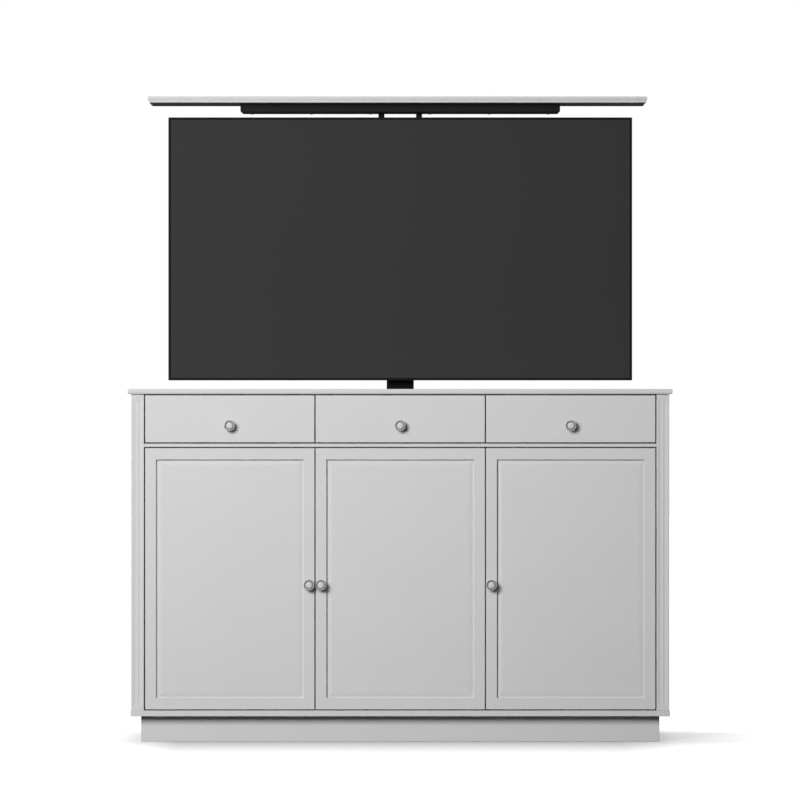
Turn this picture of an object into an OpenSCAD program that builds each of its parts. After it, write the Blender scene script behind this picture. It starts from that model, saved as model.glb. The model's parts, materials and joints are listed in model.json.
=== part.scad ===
// Television lift cabinet. A two-stage column in the rear well raises a flat television and
// its lid out of the top. Three drawers and three doors serve the storage in front.
// The front is -Y, the right is +X and the floor is z = 0. Lengths are in millimetres.

/* [Television] */
// Overall width of the television
screen_w = 1227.4; // [1000:0.2:1450]
// Overall height of the television
screen_h = 696; // [580:0.5:830]
// Face width of the frame bars round the glass
bezel_w = 6.3; // [4:0.1:12]
// Depth of the frame bars, front to back
bezel_d = 18; // [12:0.5:24]
// Thickness of the display panel
panel_t = 5; // [3:0.5:8]
// How far the display panel sits behind the frame's face
panel_set = 1; // [0.5:0.1:2]
// Wall of the back cover
cover_t = 2.5; // [2:0.1:4]
// Width of the electronics housing on the back cover
housing_w = 900; // [600:10:980]
// Depth of the electronics housing
housing_d = 21.5; // [15:0.5:28]
// Height left free below the electronics housing
housing_foot = 28; // [15:1:60]
// Height of the housing above its upper mounting holes
housing_head = 30; // [15:1:50]
// Pitch of the mounting holes on the back, both ways
mount_pitch = 300; // [200:100:300]

/* [Cabinet] */
// Web between the cut-out of the slab and the outer side of the cabinet
side_web = 75; // [60:1:120]
// Clearance between the television and each end of the cut-out
screen_clear = 11.3; // [8:0.1:30]
// Depth of the cabinet, from the door faces to the back
body_d = 430; // [410:1:520]
// Depth of the well that the television sinks into
well_d = 184; // [175:1:200]
// Height of the plinth
plinth_h = 68; // [50:1:100]
// How far the plinth stands back from the door faces
plinth_setback = 38; // [25:1:60]
// How far the plinth stands in from each side of the cabinet
plinth_inset = 24; // [10:1:40]
// How far the plinth stands in from the back
plinth_back = 10; // [4:1:30]
// Thickness of the bottom board
bottom_t = 15; // [14:0.5:22]
// How far the bottom board stands out at the front and at the sides
bottom_lip = 2; // [1:0.5:6]
// Thickness of the sides, partitions, divider and plinth boards
board_t = 18; // [15:0.5:22]
// Thickness of the back panel
back_t = 8; // [6:0.5:9.5]
// Thickness of the drawer shelf
shelf_t = 15; // [12:0.5:20]
// Thickness of the rail on the front of the drawer shelf
rail_t = 8.8; // [7.5:0.1:11]
// Thickness of the top slab
slab_t = 13.5; // [12:0.5:20]
// How far the slab stands out at the front and at the sides
slab_lip = 9; // [5:0.5:20]
// Depth of the round on the edge of the slab
slab_round = 2.2; // [1:0.1:5]
// Strip of slab behind the cut-out
slab_strip = 10; // [9.5:0.5:14]
// Width of each front pilaster
pilaster_w = 33; // [25:1:45]
// Width of each flute in a pilaster
flute_w = 8; // [5:0.5:9]
// Depth of each flute
flute_depth = 0.8; // [0.5:0.1:3]
// Plain length at each end of a pilaster
flute_end = 12; // [8:1:40]
// Thickness of the loose shelf in each bay
bay_shelf_t = 16; // [12:1:22]
// Height of the loose shelves above the bottom board
bay_shelf_z = 330; // [200:1:420]

/* [Doors and drawers] */
// Gap round each door and drawer front
front_gap = 3; // [2.4:0.1:4]
// Thickness of the doors and drawer fronts
door_t = 20; // [18:0.5:24]
// Height of the drawer fronts
drawer_front_h = 122.7; // [105:0.1:150]
// Width of the flat frame at the sides of each door panel
stile_w = 28.3; // [20:0.1:40]
// Width of the flat frame above and below each door panel
door_rail_w = 29.8; // [20:0.1:45]
// Depth of the groove round the raised panel
groove_depth = 8.8; // [4:0.1:10]
// Width of the flat bottom of the groove
groove_w = 1.6; // [0.4:0.1:4]
// Width of the hollow border of the raised panel
border_w = 14; // [8:0.5:20]
// Height of the raised panel above the bottom of the groove
panel_rise = 2.8; // [0.8:0.1:3.5]
// Distance of the hinge pins from the hinged edge of a door
hinge_in = 8; // [7.5:0.1:9.5]
// Distance of the hinge pins behind the door face
hinge_back = 6; // [5.5:0.1:6.5]
// Radius of the hinge pins
pin_r = 3; // [2.5:0.1:3.5]
// Length of hinge pin inside a door
pin_door = 11; // [8:0.5:16]
// Length of hinge pin inside the bottom board and the rail
pin_board = 6; // [4:0.5:7]
// Radius of the knob heads
knob_r = 14.25; // [11:0.25:15]
// How far the knobs stand out from the fronts
knob_h = 24; // [20:0.5:34]
// Distance of the door knobs from the free edge of the door
knob_in = 14; // [13:0.5:24]
// Height of the door knobs above the foot of the door
door_knob_z = 324; // [200:1:500]
// Height of the drawer knobs above the foot of the drawer front
drawer_knob_z = 43.8; // [30:0.1:70]
// Width of each drawer box
drawer_w = 400; // [320:1:405]
// Height of each drawer box
drawer_h = 92; // [70:1:96]
// Thickness of the boards of the drawer box
drawer_board_t = 12; // [10:0.5:15]
// Thickness of the drawer bottom
drawer_bottom_t = 6; // [4:0.5:8]
// Height of the runner strips
runner_h = 11.4; // [9:0.1:14]
// Depth of the runner groove in a drawer side
runner_groove = 7; // [5:0.5:8]

/* [Lid] */
// Thickness of the lid
lid_t = 16.2; // [13:0.1:22]
// Lap of the lid over each end of the cut-out
lid_lap_x = 34.4; // [20:0.1:60]
// Lap of the lid over the front and back of the cut-out
lid_lap_y = 8; // [5:0.5:9]
// Sideways shift of the lid from the middle of the cabinet
lid_shift = -7; // [-12:1:12]
// Thickness of the soft liner under the lid
liner_t = 1.5; // [1:0.1:3]
// How far the liner stands in from the edge of the lid
liner_inset = 5.5; // [5:0.1:9]
// Width of the carrier under the lid
carrier_w = 847; // [600:1:1000]
// Depth of the carrier
carrier_d = 100; // [80:1:120]
// Height of the carrier's upper tier
carrier_h = 19.8; // [14:0.1:26]
// Height of the carrier's lower tier
tray_h = 3.8; // [3.4:0.1:8]
// How far the lower tier stands in from the upper one
tray_inset = 4; // [2:0.5:8]
// Sheet thickness of the carrier
carrier_sheet = 2; // [1.5:0.1:3]

/* [Lift] */
// Height of the raised television above the slab
screen_rise = 23.3; // [15:0.1:40]
// Height left below the lowered television
floor_clear = 103.5; // [85:0.5:130]
// Gap between the top of the television and the carrier
post_gap = 13.9; // [8:0.1:20]
// Width and depth of the two posts under the carrier
post_w = 16; // [12:0.5:20]
// Distance between the middles of the posts
post_pitch = 100; // [80:1:130]
// Length of the posts
post_len = 27.9; // [20:0.1:36]
// Space in the well in front of the television
screen_front = 24; // [14:1:30]
// Width of the inner column
inner_w = 58; // [52:1:64]
// Depth of the inner column
inner_d = 38; // [34:1:42]
// Wall of the columns
tube_t = 3; // [2:0.1:3.5]
// Room between neighbouring columns, at each side
glide_x = 4; // [3:0.1:5]
// Room between neighbouring columns, at front and back
glide_y = 3; // [2:0.1:4]
// Height of the glide pads
glide_h = 40; // [25:1:60]
// How far the top of each stage stands above the one round it, when lowered
stage_step = 12; // [8:1:18]
// Thickness of the base plate
base_t = 6; // [4:0.5:8]
// Width of the base plate
base_w = 180; // [150:1:220]
// Height of the gearbox
gear_h = 19; // [15:0.5:24]
// Radius of the motor
motor_r = 17; // [14:0.5:19]
// Length of the motor
motor_len = 62; // [50:1:70]
// Radius of the lower spindle
spindle_r = 8; // [6:0.1:8.5]
// Outer radius of the hollow upper spindle
spindle_tube_r = 12; // [11:0.1:13]
// Thickness of the foot in each moving column
foot_t = 12; // [9:0.5:16]
// Gap between the hanger plate and the outer column
hanger_gap = 10; // [7:0.5:13]
// Thickness of the hanger plate
hanger_t = 5; // [3:0.5:7]
// Width of the hanger plate
hanger_w = 220; // [180:1:260]
// Length of the two cross bars on the hanger plate
bar_w = 420; // [370:1:600]
// Height of each cross bar
bar_h = 40; // [25:1:50]
// Depth of the upright rails on the television's back
rail_d = 10; // [7:0.5:12]
// Width of the upright rails
rail_w = 30; // [24:1:40]
// Length of the upright rails beyond their screws, at each end
rail_end = 40; // [25:1:60]
// Radius of the screws that hold the rails
screw_r = 3; // [2.5:0.1:4]
// Radius of the base bolts
bolt_r = 4; // [3:0.1:5]

/* [Fittings] */
// Bore radius of the cable grommet
grommet_r = 25; // [18:0.5:32]
// Wall of the grommet
grommet_t = 3; // [2:0.1:4]
// Width of the grommet's flange
grommet_flange = 5; // [3:0.1:8]
// Place of the grommet to the right of the middle
grommet_x = 300; // [200:1:500]
// Height of the grommet's middle above the bottom board
grommet_z = 75; // [60:1:150]
// Radius of the wall fixing holes in the back panel
wall_hole_r = 2.75; // [2:0.05:4]
// Distance between the wall fixing holes
wall_pitch = 1000; // [600:1:1100]
// Depth of the wall fixing holes below the slab
wall_hole_drop = 46.5; // [30:0.5:80]
// Length of the control box
control_w = 140; // [100:1:180]
// Depth of the control box
control_d = 60; // [40:1:70]
// Height of the control box
control_h = 36; // [25:1:40]
// Width of the mains inlet in the control box
inlet_w = 28; // [20:1:34]
// Height of the mains inlet
inlet_h = 20; // [14:1:22]
// Depth of the mains inlet
inlet_d = 16; // [10:1:20]

/* [Hidden] */

// Overrun of every cut past the face that it opens
cut = 1;
// Gap between a sliding or turning piece and what guides it
slide_gap = 0.3;
// Radial clearance of a pin, bolt or spindle in its hole
pin_clear = 0.05;
// Fineness of round pieces
$fn = 48;

// Left, middle and right are -1, 0 and 1. The side on which each door hangs:
hinge_side = [-1, 1, 1];

// Heights, from the floor up
bottom_z = plinth_h;
floor_z = plinth_h + bottom_t;
cabinet_h = floor_z + floor_clear + screen_h + post_gap + tray_h + carrier_h;
slab_z = cabinet_h - slab_t;
drawer_z = slab_z - front_gap - drawer_front_h;
shelf_top = drawer_z - front_gap;
rail_z = shelf_top - rail_t;
shelf_z = shelf_top - shelf_t;
door_z = floor_z + front_gap;
door_h = rail_z - front_gap - door_z;

// Widths
cutout_w = screen_w + 2 * screen_clear;
body_w = cutout_w + 2 * side_web;
inside_w = body_w - 2 * board_t;
front_opening = body_w - 2 * pilaster_w;
front_pitch = (front_opening - front_gap) / 3;
front_w = front_pitch - front_gap;
partition_x = front_pitch / 2;

// Depths, from the door faces back. The origin is midway between the knobs and the back.
front_y = (knob_h - body_d) / 2;
back_y = front_y + body_d;
carcass_y = front_y + door_t + front_gap;
well_back_y = back_y - back_t;
well_y = well_back_y - well_d;
divider_y = well_y - board_t;
cutout_back_y = back_y - slab_strip;

// Television, raised
screen_z = cabinet_h + screen_rise;
screen_top = screen_z + screen_h;
screen_mid_z = screen_z + screen_h / 2;
screen_y = well_y + screen_front;
cover_y = screen_y + bezel_d;
housing_y = cover_y + cover_t;
housing_back_y = housing_y + housing_d;
housing_z = screen_z + housing_foot;
housing_top = screen_mid_z + mount_pitch / 2 + housing_head;

// Lid and carrier, raised
tray_z = screen_top + post_gap;
carrier_z = tray_z + tray_h;
lid_z = carrier_z + carrier_h;
lid_w = cutout_w + 2 * lid_lap_x;
lid_y = well_y - lid_lap_y;
lid_back_y = cutout_back_y + lid_lap_y;
lid_mid_y = (lid_y + lid_back_y) / 2;

// Travel of the lift, shared by its two stages
travel = lid_z - cabinet_h;
stage_travel = travel / 2;

// Columns. Each tube takes its size from the one inside it.
rail_y = housing_back_y;
bar_y = rail_y + rail_d;
hanger_y = bar_y + hanger_t;
outer_y = hanger_y + hanger_t + hanger_gap;
middle_w = inner_w + 2 * (glide_x + tube_t);
middle_d = inner_d + 2 * (glide_y + tube_t);
outer_w = middle_w + 2 * (glide_x + tube_t);
outer_d = middle_d + 2 * (glide_y + tube_t);
column_y = outer_y + outer_d / 2;
flange_z = tray_z - post_len - hanger_t;
inner_top = flange_z;
middle_top = inner_top - stage_step - stage_travel;
outer_top = middle_top - stage_step - stage_travel;
base_top = floor_z + base_t;
gear_top = base_top + gear_h;
collar_t = spindle_r / 2;
middle_foot_z = gear_top + collar_t + 2 * slide_gap + stage_travel;
middle_foot_top = middle_foot_z + foot_t;
inner_foot_z = middle_foot_top + tube_t + stage_travel;
inner_foot_top = inner_foot_z + foot_t;
journal_r = 3 * spindle_r / 4;
spindle_head_r = spindle_tube_r - tube_t - slide_gap;
spindle_head_h = 2 * spindle_tube_r;
post_x = post_pitch / 2;
post_y = outer_y;

// Base plate and its bolts
base_y = outer_y - 2 * bolt_r;
base_back_y = outer_y + outer_d + 4 * bolt_r;
bolt_in = 3 * bolt_r;

// Gearbox snout and motor, in front of the column's foot
snout_w = 1.6 * motor_r;
snout_y = outer_y - 2 * tube_t;

// Drawer boxes
drawer_box_y = front_y + door_t;
drawer_box_d = divider_y - drawer_box_y - door_t;
drawer_box_z = drawer_z + board_t / 2;
runner_y = carcass_y + front_gap;
runner_back_y = divider_y - front_gap;
runner_z = drawer_box_z + drawer_h / 2 - runner_h / 2;

// Edge outlines. Each point gives an inset and a height, as shares of the board's thickness.
square_edge_shares = [[0, 0], [0, 1]];
lid_end_shares = [
    [0.2, 0], [0.17, 0.1], [0.13, 0.2], [0.08, 0.3], [0.04, 0.36], [0.12, 0.38], [0.12, 0.49],
    [0.01, 0.51], [0, 0.62], [0, 0.78], [0.02, 0.88], [0.06, 0.95], [0.13, 1]
];
lid_side_shares = [
    [0.1, 0], [0.06, 0.04], [0.03, 0.1], [0.02, 0.2], [0.03, 0.35], [0.14, 0.37], [0.14, 0.5],
    [0.01, 0.52], [0, 0.62], [0, 0.78], [0.02, 0.88], [0.06, 0.95], [0.13, 1]
];
nose_steps = 8;
border_steps = 6;
panel_root = (door_t - groove_depth) / 3;

// Half outline of a knob. Each point gives a radius as a share of the head's radius, and a
// height as a share of the knob's height.
knob_shares = [
    [0, 0], [0.7, 0], [0.72, 0.05], [0.62, 0.1], [0.42, 0.16], [0.38, 0.3], [0.42, 0.45],
    [0.62, 0.56], [0.88, 0.64], [0.98, 0.72], [1, 0.8], [0.97, 0.88], [0.88, 0.95],
    [0.76, 0.985], [0.66, 1], [0.58, 0.985], [0.4, 0.955], [0, 0.945]
];

paint = [0.84, 0.84, 0.84];
birch = [0.86, 0.76, 0.6];
black = [0.07, 0.07, 0.07];
screen_grey = [0.22, 0.22, 0.23];
dark_steel = [0.13, 0.13, 0.14];
steel = [0.7, 0.7, 0.72];
nickel = [0.78, 0.78, 0.77];
bronze = [0.72, 0.52, 0.25];
grey_plastic = [0.3, 0.3, 0.32];

// Inset of a round nose at height z, as a share of the board's thickness
function nose_inset(z, t, depth) =
    let (r = (t * t / 4 + depth * depth) / (2 * depth))
    (r - sqrt(r * r - (z - t / 2) * (z - t / 2))) / t;

function nose_shares(t, depth) =
    [for (i = [0:nose_steps]) [nose_inset(t * i / nose_steps, t, depth), i / nose_steps]];

// Outline of a board's cross-section from lo to hi, with a moulded edge at each end
function board_outline(lo, hi, t, lo_edge, hi_edge) = concat(
    [for (s = hi_edge) [hi - s[0] * t, s[1] * t]],
    [for (i = [len(lo_edge) - 1:-1:0]) [lo + lo_edge[i][0] * t, lo_edge[i][1] * t]]
);

// Height of the panel's border at a share s of its width, along a parabola that ends level
function border_rise(s) = panel_rise * s * (2 - s);

// Outline of the raised panel of a door, whose root lies inside the door's board
function panel_outline(span) = concat(
    [[-span / 2, -panel_root], [span / 2, -panel_root]],
    [for (i = [0:border_steps]) let (s = i / border_steps) [span / 2 - border_w * s, border_rise(s)]],
    [for (i = [border_steps:-1:0]) let (s = i / border_steps) [-span / 2 + border_w * s, border_rise(s)]]
);

module block(lo, hi) {
    translate(lo) cube(hi - lo);
}

// Upright square tube, centred on the column line
module tube(w, d, z0, z1) {
    difference() {
        block([-w / 2, column_y - d / 2, z0], [w / 2, column_y + d / 2, z1]);
        block(
            [-w / 2 + tube_t, column_y - d / 2 + tube_t, z0 - cut],
            [w / 2 - tube_t, column_y + d / 2 - tube_t, z1 + cut]
        );
    }
}

module upright(r, z0, z1) {
    translate([0, column_y, z0]) cylinder(r = r, h = z1 - z0);
}

// Board with moulded edges, lo and hi being its corners in x and y
module moulded_board(lo, hi, t, x_edge, front_edge, back_edge) {
    intersection() {
        translate([0, hi[1], 0])
            rotate([90, 0, 0])
                linear_extrude(hi[1] - lo[1]) polygon(board_outline(lo[0], hi[0], t, x_edge, x_edge));
        translate([lo[0], 0, 0])
            rotate([90, 0, 90])
                linear_extrude(hi[0] - lo[0])
                    polygon(board_outline(lo[1], hi[1], t, front_edge, back_edge));
    }
}

// Cabinet

module top_slab() {
    edge = nose_shares(slab_t, slab_round);
    half = body_w / 2 + slab_lip;
    color(paint) difference() {
        translate([0, 0, slab_z])
            moulded_board(
                [-half, front_y - slab_lip], [half, back_y], slab_t, edge, edge, square_edge_shares
            );
        block(
            [-cutout_w / 2, well_y, slab_z - cut],
            [cutout_w / 2, cutout_back_y, cabinet_h + cut]
        );
    }
}

module side_panel(side) {
    color(paint) scale([side, 1, 1])
        block([inside_w / 2, carcass_y, floor_z], [body_w / 2, back_y, slab_z]);
}

module flute(x) {
    r = (flute_w * flute_w / 4 + flute_depth * flute_depth) / (2 * flute_depth);
    z0 = floor_z + flute_end + r;
    z1 = slab_z - flute_end - r;
    translate([x, front_y - r + flute_depth, z0]) {
        cylinder(r = r, h = z1 - z0);
        sphere(r = r);
        translate([0, 0, z1 - z0]) sphere(r = r);
    }
}

module pilaster(side) {
    inner = front_opening / 2;
    color(paint) scale([side, 1, 1]) difference() {
        block([inner, front_y, floor_z], [body_w / 2, carcass_y, slab_z]);
        for (i = [1:2]) flute(inner + i * pilaster_w / 3);
    }
}

module bottom_board() {
    half = body_w / 2 + bottom_lip;
    color(paint) difference() {
        block([-half, front_y - bottom_lip, bottom_z], [half, back_y, floor_z]);
        for (i = [0:2])
            translate([hinge_x(i), front_y + hinge_back, floor_z - pin_board - pin_clear])
                cylinder(r = pin_r + pin_clear, h = pin_board + cut);
        base_bolt_places() translate([0, 0, floor_z - 2 * bolt_r - pin_clear])
            cylinder(r = bolt_r + pin_clear, h = 2 * bolt_r + cut);
    }
}

plinth_x = body_w / 2 - plinth_inset;
plinth_y = front_y + plinth_setback;
plinth_back_y = back_y - plinth_back;

module plinth_front() {
    color(paint) block([-plinth_x, plinth_y, 0], [plinth_x, plinth_y + board_t, plinth_h]);
}

module plinth_rear() {
    color(paint) block([-plinth_x, plinth_back_y - board_t, 0], [plinth_x, plinth_back_y, plinth_h]);
}

module plinth_side(side) {
    color(paint) scale([side, 1, 1])
        block([plinth_x - board_t, plinth_y + board_t, 0], [plinth_x, plinth_back_y - board_t, plinth_h]);
}

grommet_mid_z = floor_z + grommet_z;
wall_hole_z = slab_z - wall_hole_drop;

module back_panel() {
    color(paint) difference() {
        block([-inside_w / 2, well_back_y, floor_z], [inside_w / 2, back_y, slab_z]);
        translate([grommet_x, back_y + cut, grommet_mid_z]) rotate([90, 0, 0])
            cylinder(r = grommet_r + grommet_t + pin_clear, h = back_t + 2 * cut);
        for (side = [-1, 1])
            translate([side * wall_pitch / 2, back_y + cut, wall_hole_z]) rotate([90, 0, 0])
                cylinder(r = wall_hole_r, h = back_t + 2 * cut);
    }
}

module divider_panel() {
    color(paint) block([-inside_w / 2, divider_y, floor_z], [inside_w / 2, well_y, slab_z]);
}

// Each partition is in two lengths, below and above the drawer shelf
module partition(side) {
    x0 = side * partition_x - board_t / 2;
    color(paint) {
        block([x0, carcass_y, floor_z], [x0 + board_t, divider_y, shelf_z]);
        block([x0, carcass_y, shelf_top], [x0 + board_t, divider_y, slab_z]);
    }
}

module drawer_shelf() {
    color(paint) difference() {
        union() {
            block([-inside_w / 2, carcass_y, shelf_z], [inside_w / 2, divider_y, shelf_top]);
            block([-front_opening / 2, front_y, rail_z], [front_opening / 2, carcass_y, shelf_top]);
        }
        for (i = [0:2])
            translate([hinge_x(i), front_y + hinge_back, rail_z - cut])
                cylinder(r = pin_r + pin_clear, h = pin_board + pin_clear + cut);
    }
}

// Clear span of each bay: its left and right faces
function bay_lo(i) = i == 0 ? -inside_w / 2 : (i - 1.5) * front_pitch + board_t / 2;
function bay_hi(i) = i == 2 ? inside_w / 2 : (i - 0.5) * front_pitch - board_t / 2;

bay_shelf_front = carcass_y + board_t;
shelf_pin_r = bay_shelf_t / 6;

module bay_shelves() {
    color(paint) for (i = [0:2])
        block(
            [bay_lo(i) + slide_gap, bay_shelf_front, floor_z + bay_shelf_z],
            [bay_hi(i) - slide_gap, divider_y - slide_gap, floor_z + bay_shelf_z + bay_shelf_t]
        );
}

// Plain pegs that stand out of the bay's sides under the ends of each loose shelf
module shelf_pins() {
    len = 4 * shelf_pin_r;
    color(steel) for (i = [0:2], y = [bay_shelf_front + board_t, divider_y - board_t])
        for (end = [[bay_lo(i), 0], [bay_hi(i) - len, 1]])
            translate([end[0], y, floor_z + bay_shelf_z - shelf_pin_r])
                rotate([0, 90, 0]) cylinder(r = shelf_pin_r, h = len);
}

// Doors

function front_x(i) = (i - 1) * front_pitch;
function hinge_x(i) = front_x(i) + hinge_side[i] * (front_w / 2 - hinge_in);
function knob_x(i) = front_x(i) - hinge_side[i] * (front_w / 2 - knob_in);

// A turned pin with a collar that fills the gap at the head or foot of a door
module hinge_pin() {
    translate([0, 0, -pin_board]) cylinder(r = pin_r, h = pin_board + front_gap + pin_door);
    cylinder(r = 4 * pin_r / 3, h = front_gap);
}

module hinge_pins() {
    color(dark_steel) for (i = [0:2]) translate([hinge_x(i), front_y + hinge_back, 0]) {
        translate([0, 0, floor_z]) hinge_pin();
        translate([0, 0, rail_z]) mirror([0, 0, 1]) hinge_pin();
    }
}

module raised_panel(w, h) {
    intersection() {
        translate([0, 0, -h / 2]) rotate([0, 0, 180]) linear_extrude(h) polygon(panel_outline(w));
        translate([-w / 2, 0, 0]) rotate([0, -90, 180]) linear_extrude(w) polygon(panel_outline(h));
    }
}

module door(i) {
    lo = [front_x(i) - front_w / 2, front_y, door_z];
    hi = [front_x(i) + front_w / 2, front_y + door_t, door_z + door_h];
    inset = [stile_w + groove_w, door_rail_w + groove_w];
    color(paint) difference() {
        union() {
            difference() {
                block(lo, hi);
                block(
                    [lo[0] + stile_w, front_y - cut, lo[2] + door_rail_w],
                    [hi[0] - stile_w, front_y + groove_depth, hi[2] - door_rail_w]
                );
            }
            translate([front_x(i), front_y + groove_depth, door_z + door_h / 2])
                raised_panel(front_w - 2 * inset[0], door_h - 2 * inset[1]);
        }
        translate([hinge_x(i), front_y + hinge_back, 0]) {
            translate([0, 0, lo[2] - cut])
                cylinder(r = pin_r + pin_clear, h = pin_door + 2 * pin_clear + cut);
            translate([0, 0, hi[2] - pin_door - 2 * pin_clear])
                cylinder(r = pin_r + pin_clear, h = pin_door + 2 * pin_clear + cut);
        }
    }
}

module knob(x, z) {
    color(nickel) translate([x, front_y, z]) rotate([90, 0, 0]) rotate_extrude()
        polygon([for (s = knob_shares) [s[0] * knob_r, s[1] * knob_h]]);
}

module door_knob(i) {
    knob(knob_x(i), door_z + door_knob_z);
}

module drawer_knob(i) {
    knob(front_x(i), drawer_z + drawer_knob_z);
}

catch_w = 2 * board_t;
catch_d = board_t;
catch_h = 2 * shelf_t / 3;

// Magnetic catches under the drawer shelf, near the free edge of each door
module door_catches() {
    color(grey_plastic) for (i = [0:2]) {
        x = knob_x(i) + hinge_side[i] * catch_w;
        block(
            [x - catch_w / 2, carcass_y, shelf_z - catch_h],
            [x + catch_w / 2, carcass_y + catch_d, shelf_z]
        );
    }
}

// Drawers

module drawer_front(i) {
    color(paint) block(
        [front_x(i) - front_w / 2, front_y, drawer_z],
        [front_x(i) + front_w / 2, front_y + door_t, drawer_z + drawer_front_h]
    );
}

module drawer_side(side, z1) {
    scale([side, 1, 1]) difference() {
        block(
            [drawer_w / 2 - drawer_board_t, drawer_box_y, drawer_box_z],
            [drawer_w / 2, drawer_box_y + drawer_box_d, z1]
        );
        block(
            [drawer_w / 2 - runner_groove, drawer_box_y - cut, runner_z - slide_gap],
            [drawer_w / 2 + cut, drawer_box_y + drawer_box_d + cut, runner_z + runner_h + slide_gap]
        );
    }
}

module drawer_box(i) {
    z1 = drawer_box_z + drawer_h;
    inner = drawer_w / 2 - drawer_board_t;
    y1 = drawer_box_y + drawer_box_d;
    color(birch) translate([front_x(i), 0, 0]) {
        for (side = [-1, 1]) drawer_side(side, z1);
        block([-inner, drawer_box_y, drawer_box_z], [inner, drawer_box_y + drawer_board_t, z1]);
        block([-inner, y1 - drawer_board_t, drawer_box_z], [inner, y1, z1]);
        block(
            [-inner, drawer_box_y + drawer_board_t, drawer_box_z],
            [inner, y1 - drawer_board_t, drawer_box_z + drawer_bottom_t]
        );
    }
}

// Hardwood strips on the bay sides, on which the grooved drawer sides slide
module runner_strips() {
    reach = drawer_w / 2 - runner_groove + slide_gap;
    color(birch) for (i = [0:2]) {
        block([bay_lo(i), runner_y, runner_z], [front_x(i) - reach, runner_back_y, runner_z + runner_h]);
        block([front_x(i) + reach, runner_y, runner_z], [bay_hi(i), runner_back_y, runner_z + runner_h]);
    }
}

// Fittings in the well

module cable_grommet() {
    color(black) translate([grommet_x, back_y, grommet_mid_z]) rotate([90, 0, 0]) difference() {
        union() {
            cylinder(r = grommet_r + grommet_t, h = back_t + grommet_t);
            translate([0, 0, back_t])
                cylinder(r = grommet_r + grommet_t + grommet_flange, h = grommet_t);
        }
        translate([0, 0, -cut]) cylinder(r = grommet_r, h = back_t + grommet_t + 2 * cut);
    }
}

module control_box() {
    x1 = -base_w / 2 - board_t;
    y1 = well_back_y - board_t;
    x_mid = x1 - control_w / 2;
    z_mid = floor_z + control_h / 2;
    color(grey_plastic) difference() {
        block([x1 - control_w, y1 - control_d, floor_z], [x1, y1, floor_z + control_h]);
        block(
            [x_mid - inlet_w / 2, y1 - inlet_d, z_mid - inlet_h / 2],
            [x_mid + inlet_w / 2, y1 + cut, z_mid + inlet_h / 2]
        );
    }
}

// Lift, standing on the bottom board

module base_bolt_places() {
    for (x = [-base_w / 2 + bolt_in, base_w / 2 - bolt_in], y = [base_y + bolt_in, base_back_y - bolt_in])
        translate([x, y, 0]) children();
}

module lift_base() {
    color(dark_steel) difference() {
        block([-base_w / 2, base_y, floor_z], [base_w / 2, base_back_y, base_top]);
        base_bolt_places() translate([0, 0, floor_z - cut])
            cylinder(r = bolt_r + pin_clear, h = base_t + 2 * cut);
    }
}

module base_bolts() {
    color(steel) base_bolt_places() {
        translate([0, 0, floor_z - 2 * bolt_r]) cylinder(r = bolt_r, h = base_t + 2 * bolt_r);
        translate([0, 0, base_top]) cylinder(r = 1.6 * bolt_r, h = bolt_r, $fn = 6);
    }
}

module outer_column() {
    color(black) difference() {
        tube(outer_w, outer_d, base_top, outer_top);
        block(
            [-snout_w / 2 - slide_gap, outer_y - cut, base_top - cut],
            [snout_w / 2 + slide_gap, outer_y + tube_t + cut, gear_top + slide_gap]
        );
    }
}

// Four pads inside the head of a column, which guide the next column
module glide_pads(w, d, top) {
    x_t = glide_x - slide_gap;
    y_t = glide_y - slide_gap;
    z0 = top - glide_h - glide_x;
    z1 = top - glide_x;
    for (side = [-1, 1]) {
        x = side * (w / 2 - tube_t - x_t / 2);
        block([x - x_t / 2, column_y - d / 4, z0], [x + x_t / 2, column_y + d / 4, z1]);
        y = column_y + side * (d / 2 - tube_t - y_t / 2);
        block([-w / 4, y - y_t / 2, z0], [w / 4, y + y_t / 2, z1]);
    }
}

module outer_glides() {
    color(grey_plastic) glide_pads(outer_w, outer_d, outer_top);
}

module gearbox() {
    half_w = outer_w / 2 - tube_t - slide_gap;
    half_d = outer_d / 2 - tube_t - slide_gap;
    color(grey_plastic) difference() {
        union() {
            block([-half_w, column_y - half_d, base_top], [half_w, column_y + half_d, gear_top]);
            block([-snout_w / 2, snout_y, base_top], [snout_w / 2, column_y, gear_top]);
        }
        upright(journal_r + pin_clear, base_top - cut, gear_top + cut);
    }
}

module lift_motor() {
    color(steel) translate([0, snout_y, motor_r + base_top]) rotate([90, 0, 0]) {
        cylinder(r = motor_r, h = motor_len);
        translate([0, 0, motor_len]) cylinder(r = motor_r / 3, h = tube_t);
    }
}

module lower_spindle() {
    head_z = middle_foot_top + slide_gap;
    color(steel) {
        upright(journal_r, base_top + slide_gap, gear_top + slide_gap);
        upright(2 * spindle_r, gear_top + slide_gap, gear_top + slide_gap + collar_t);
        upright(spindle_r, gear_top + slide_gap, head_z);
        upright(spindle_head_r, head_z, head_z + spindle_head_h);
    }
}

// Middle stage, raised

module middle_column() {
    color(black) tube(middle_w, middle_d, middle_foot_z, middle_top);
}

// Block in the foot of a moving column, threaded for a spindle
module drive_nut(w, d, z, r) {
    difference() {
        block(
            [-w / 2 + tube_t, column_y - d / 2 + tube_t, z],
            [w / 2 - tube_t, column_y + d / 2 - tube_t, z + foot_t]
        );
        upright(r + pin_clear, z - cut, z + foot_t + cut);
    }
}

module middle_drive_nut() {
    color(bronze) drive_nut(middle_w, middle_d, middle_foot_z, spindle_r);
}

module middle_glides() {
    color(grey_plastic) glide_pads(middle_w, middle_d, middle_top);
}

module upper_spindle() {
    z0 = middle_foot_top + slide_gap / 2;
    z1 = inner_foot_top + foot_t;
    color(steel) difference() {
        upright(spindle_tube_r, z0, z1);
        upright(spindle_tube_r - tube_t, z0 - cut, z1 + cut);
    }
}

// Carriage, raised

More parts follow.
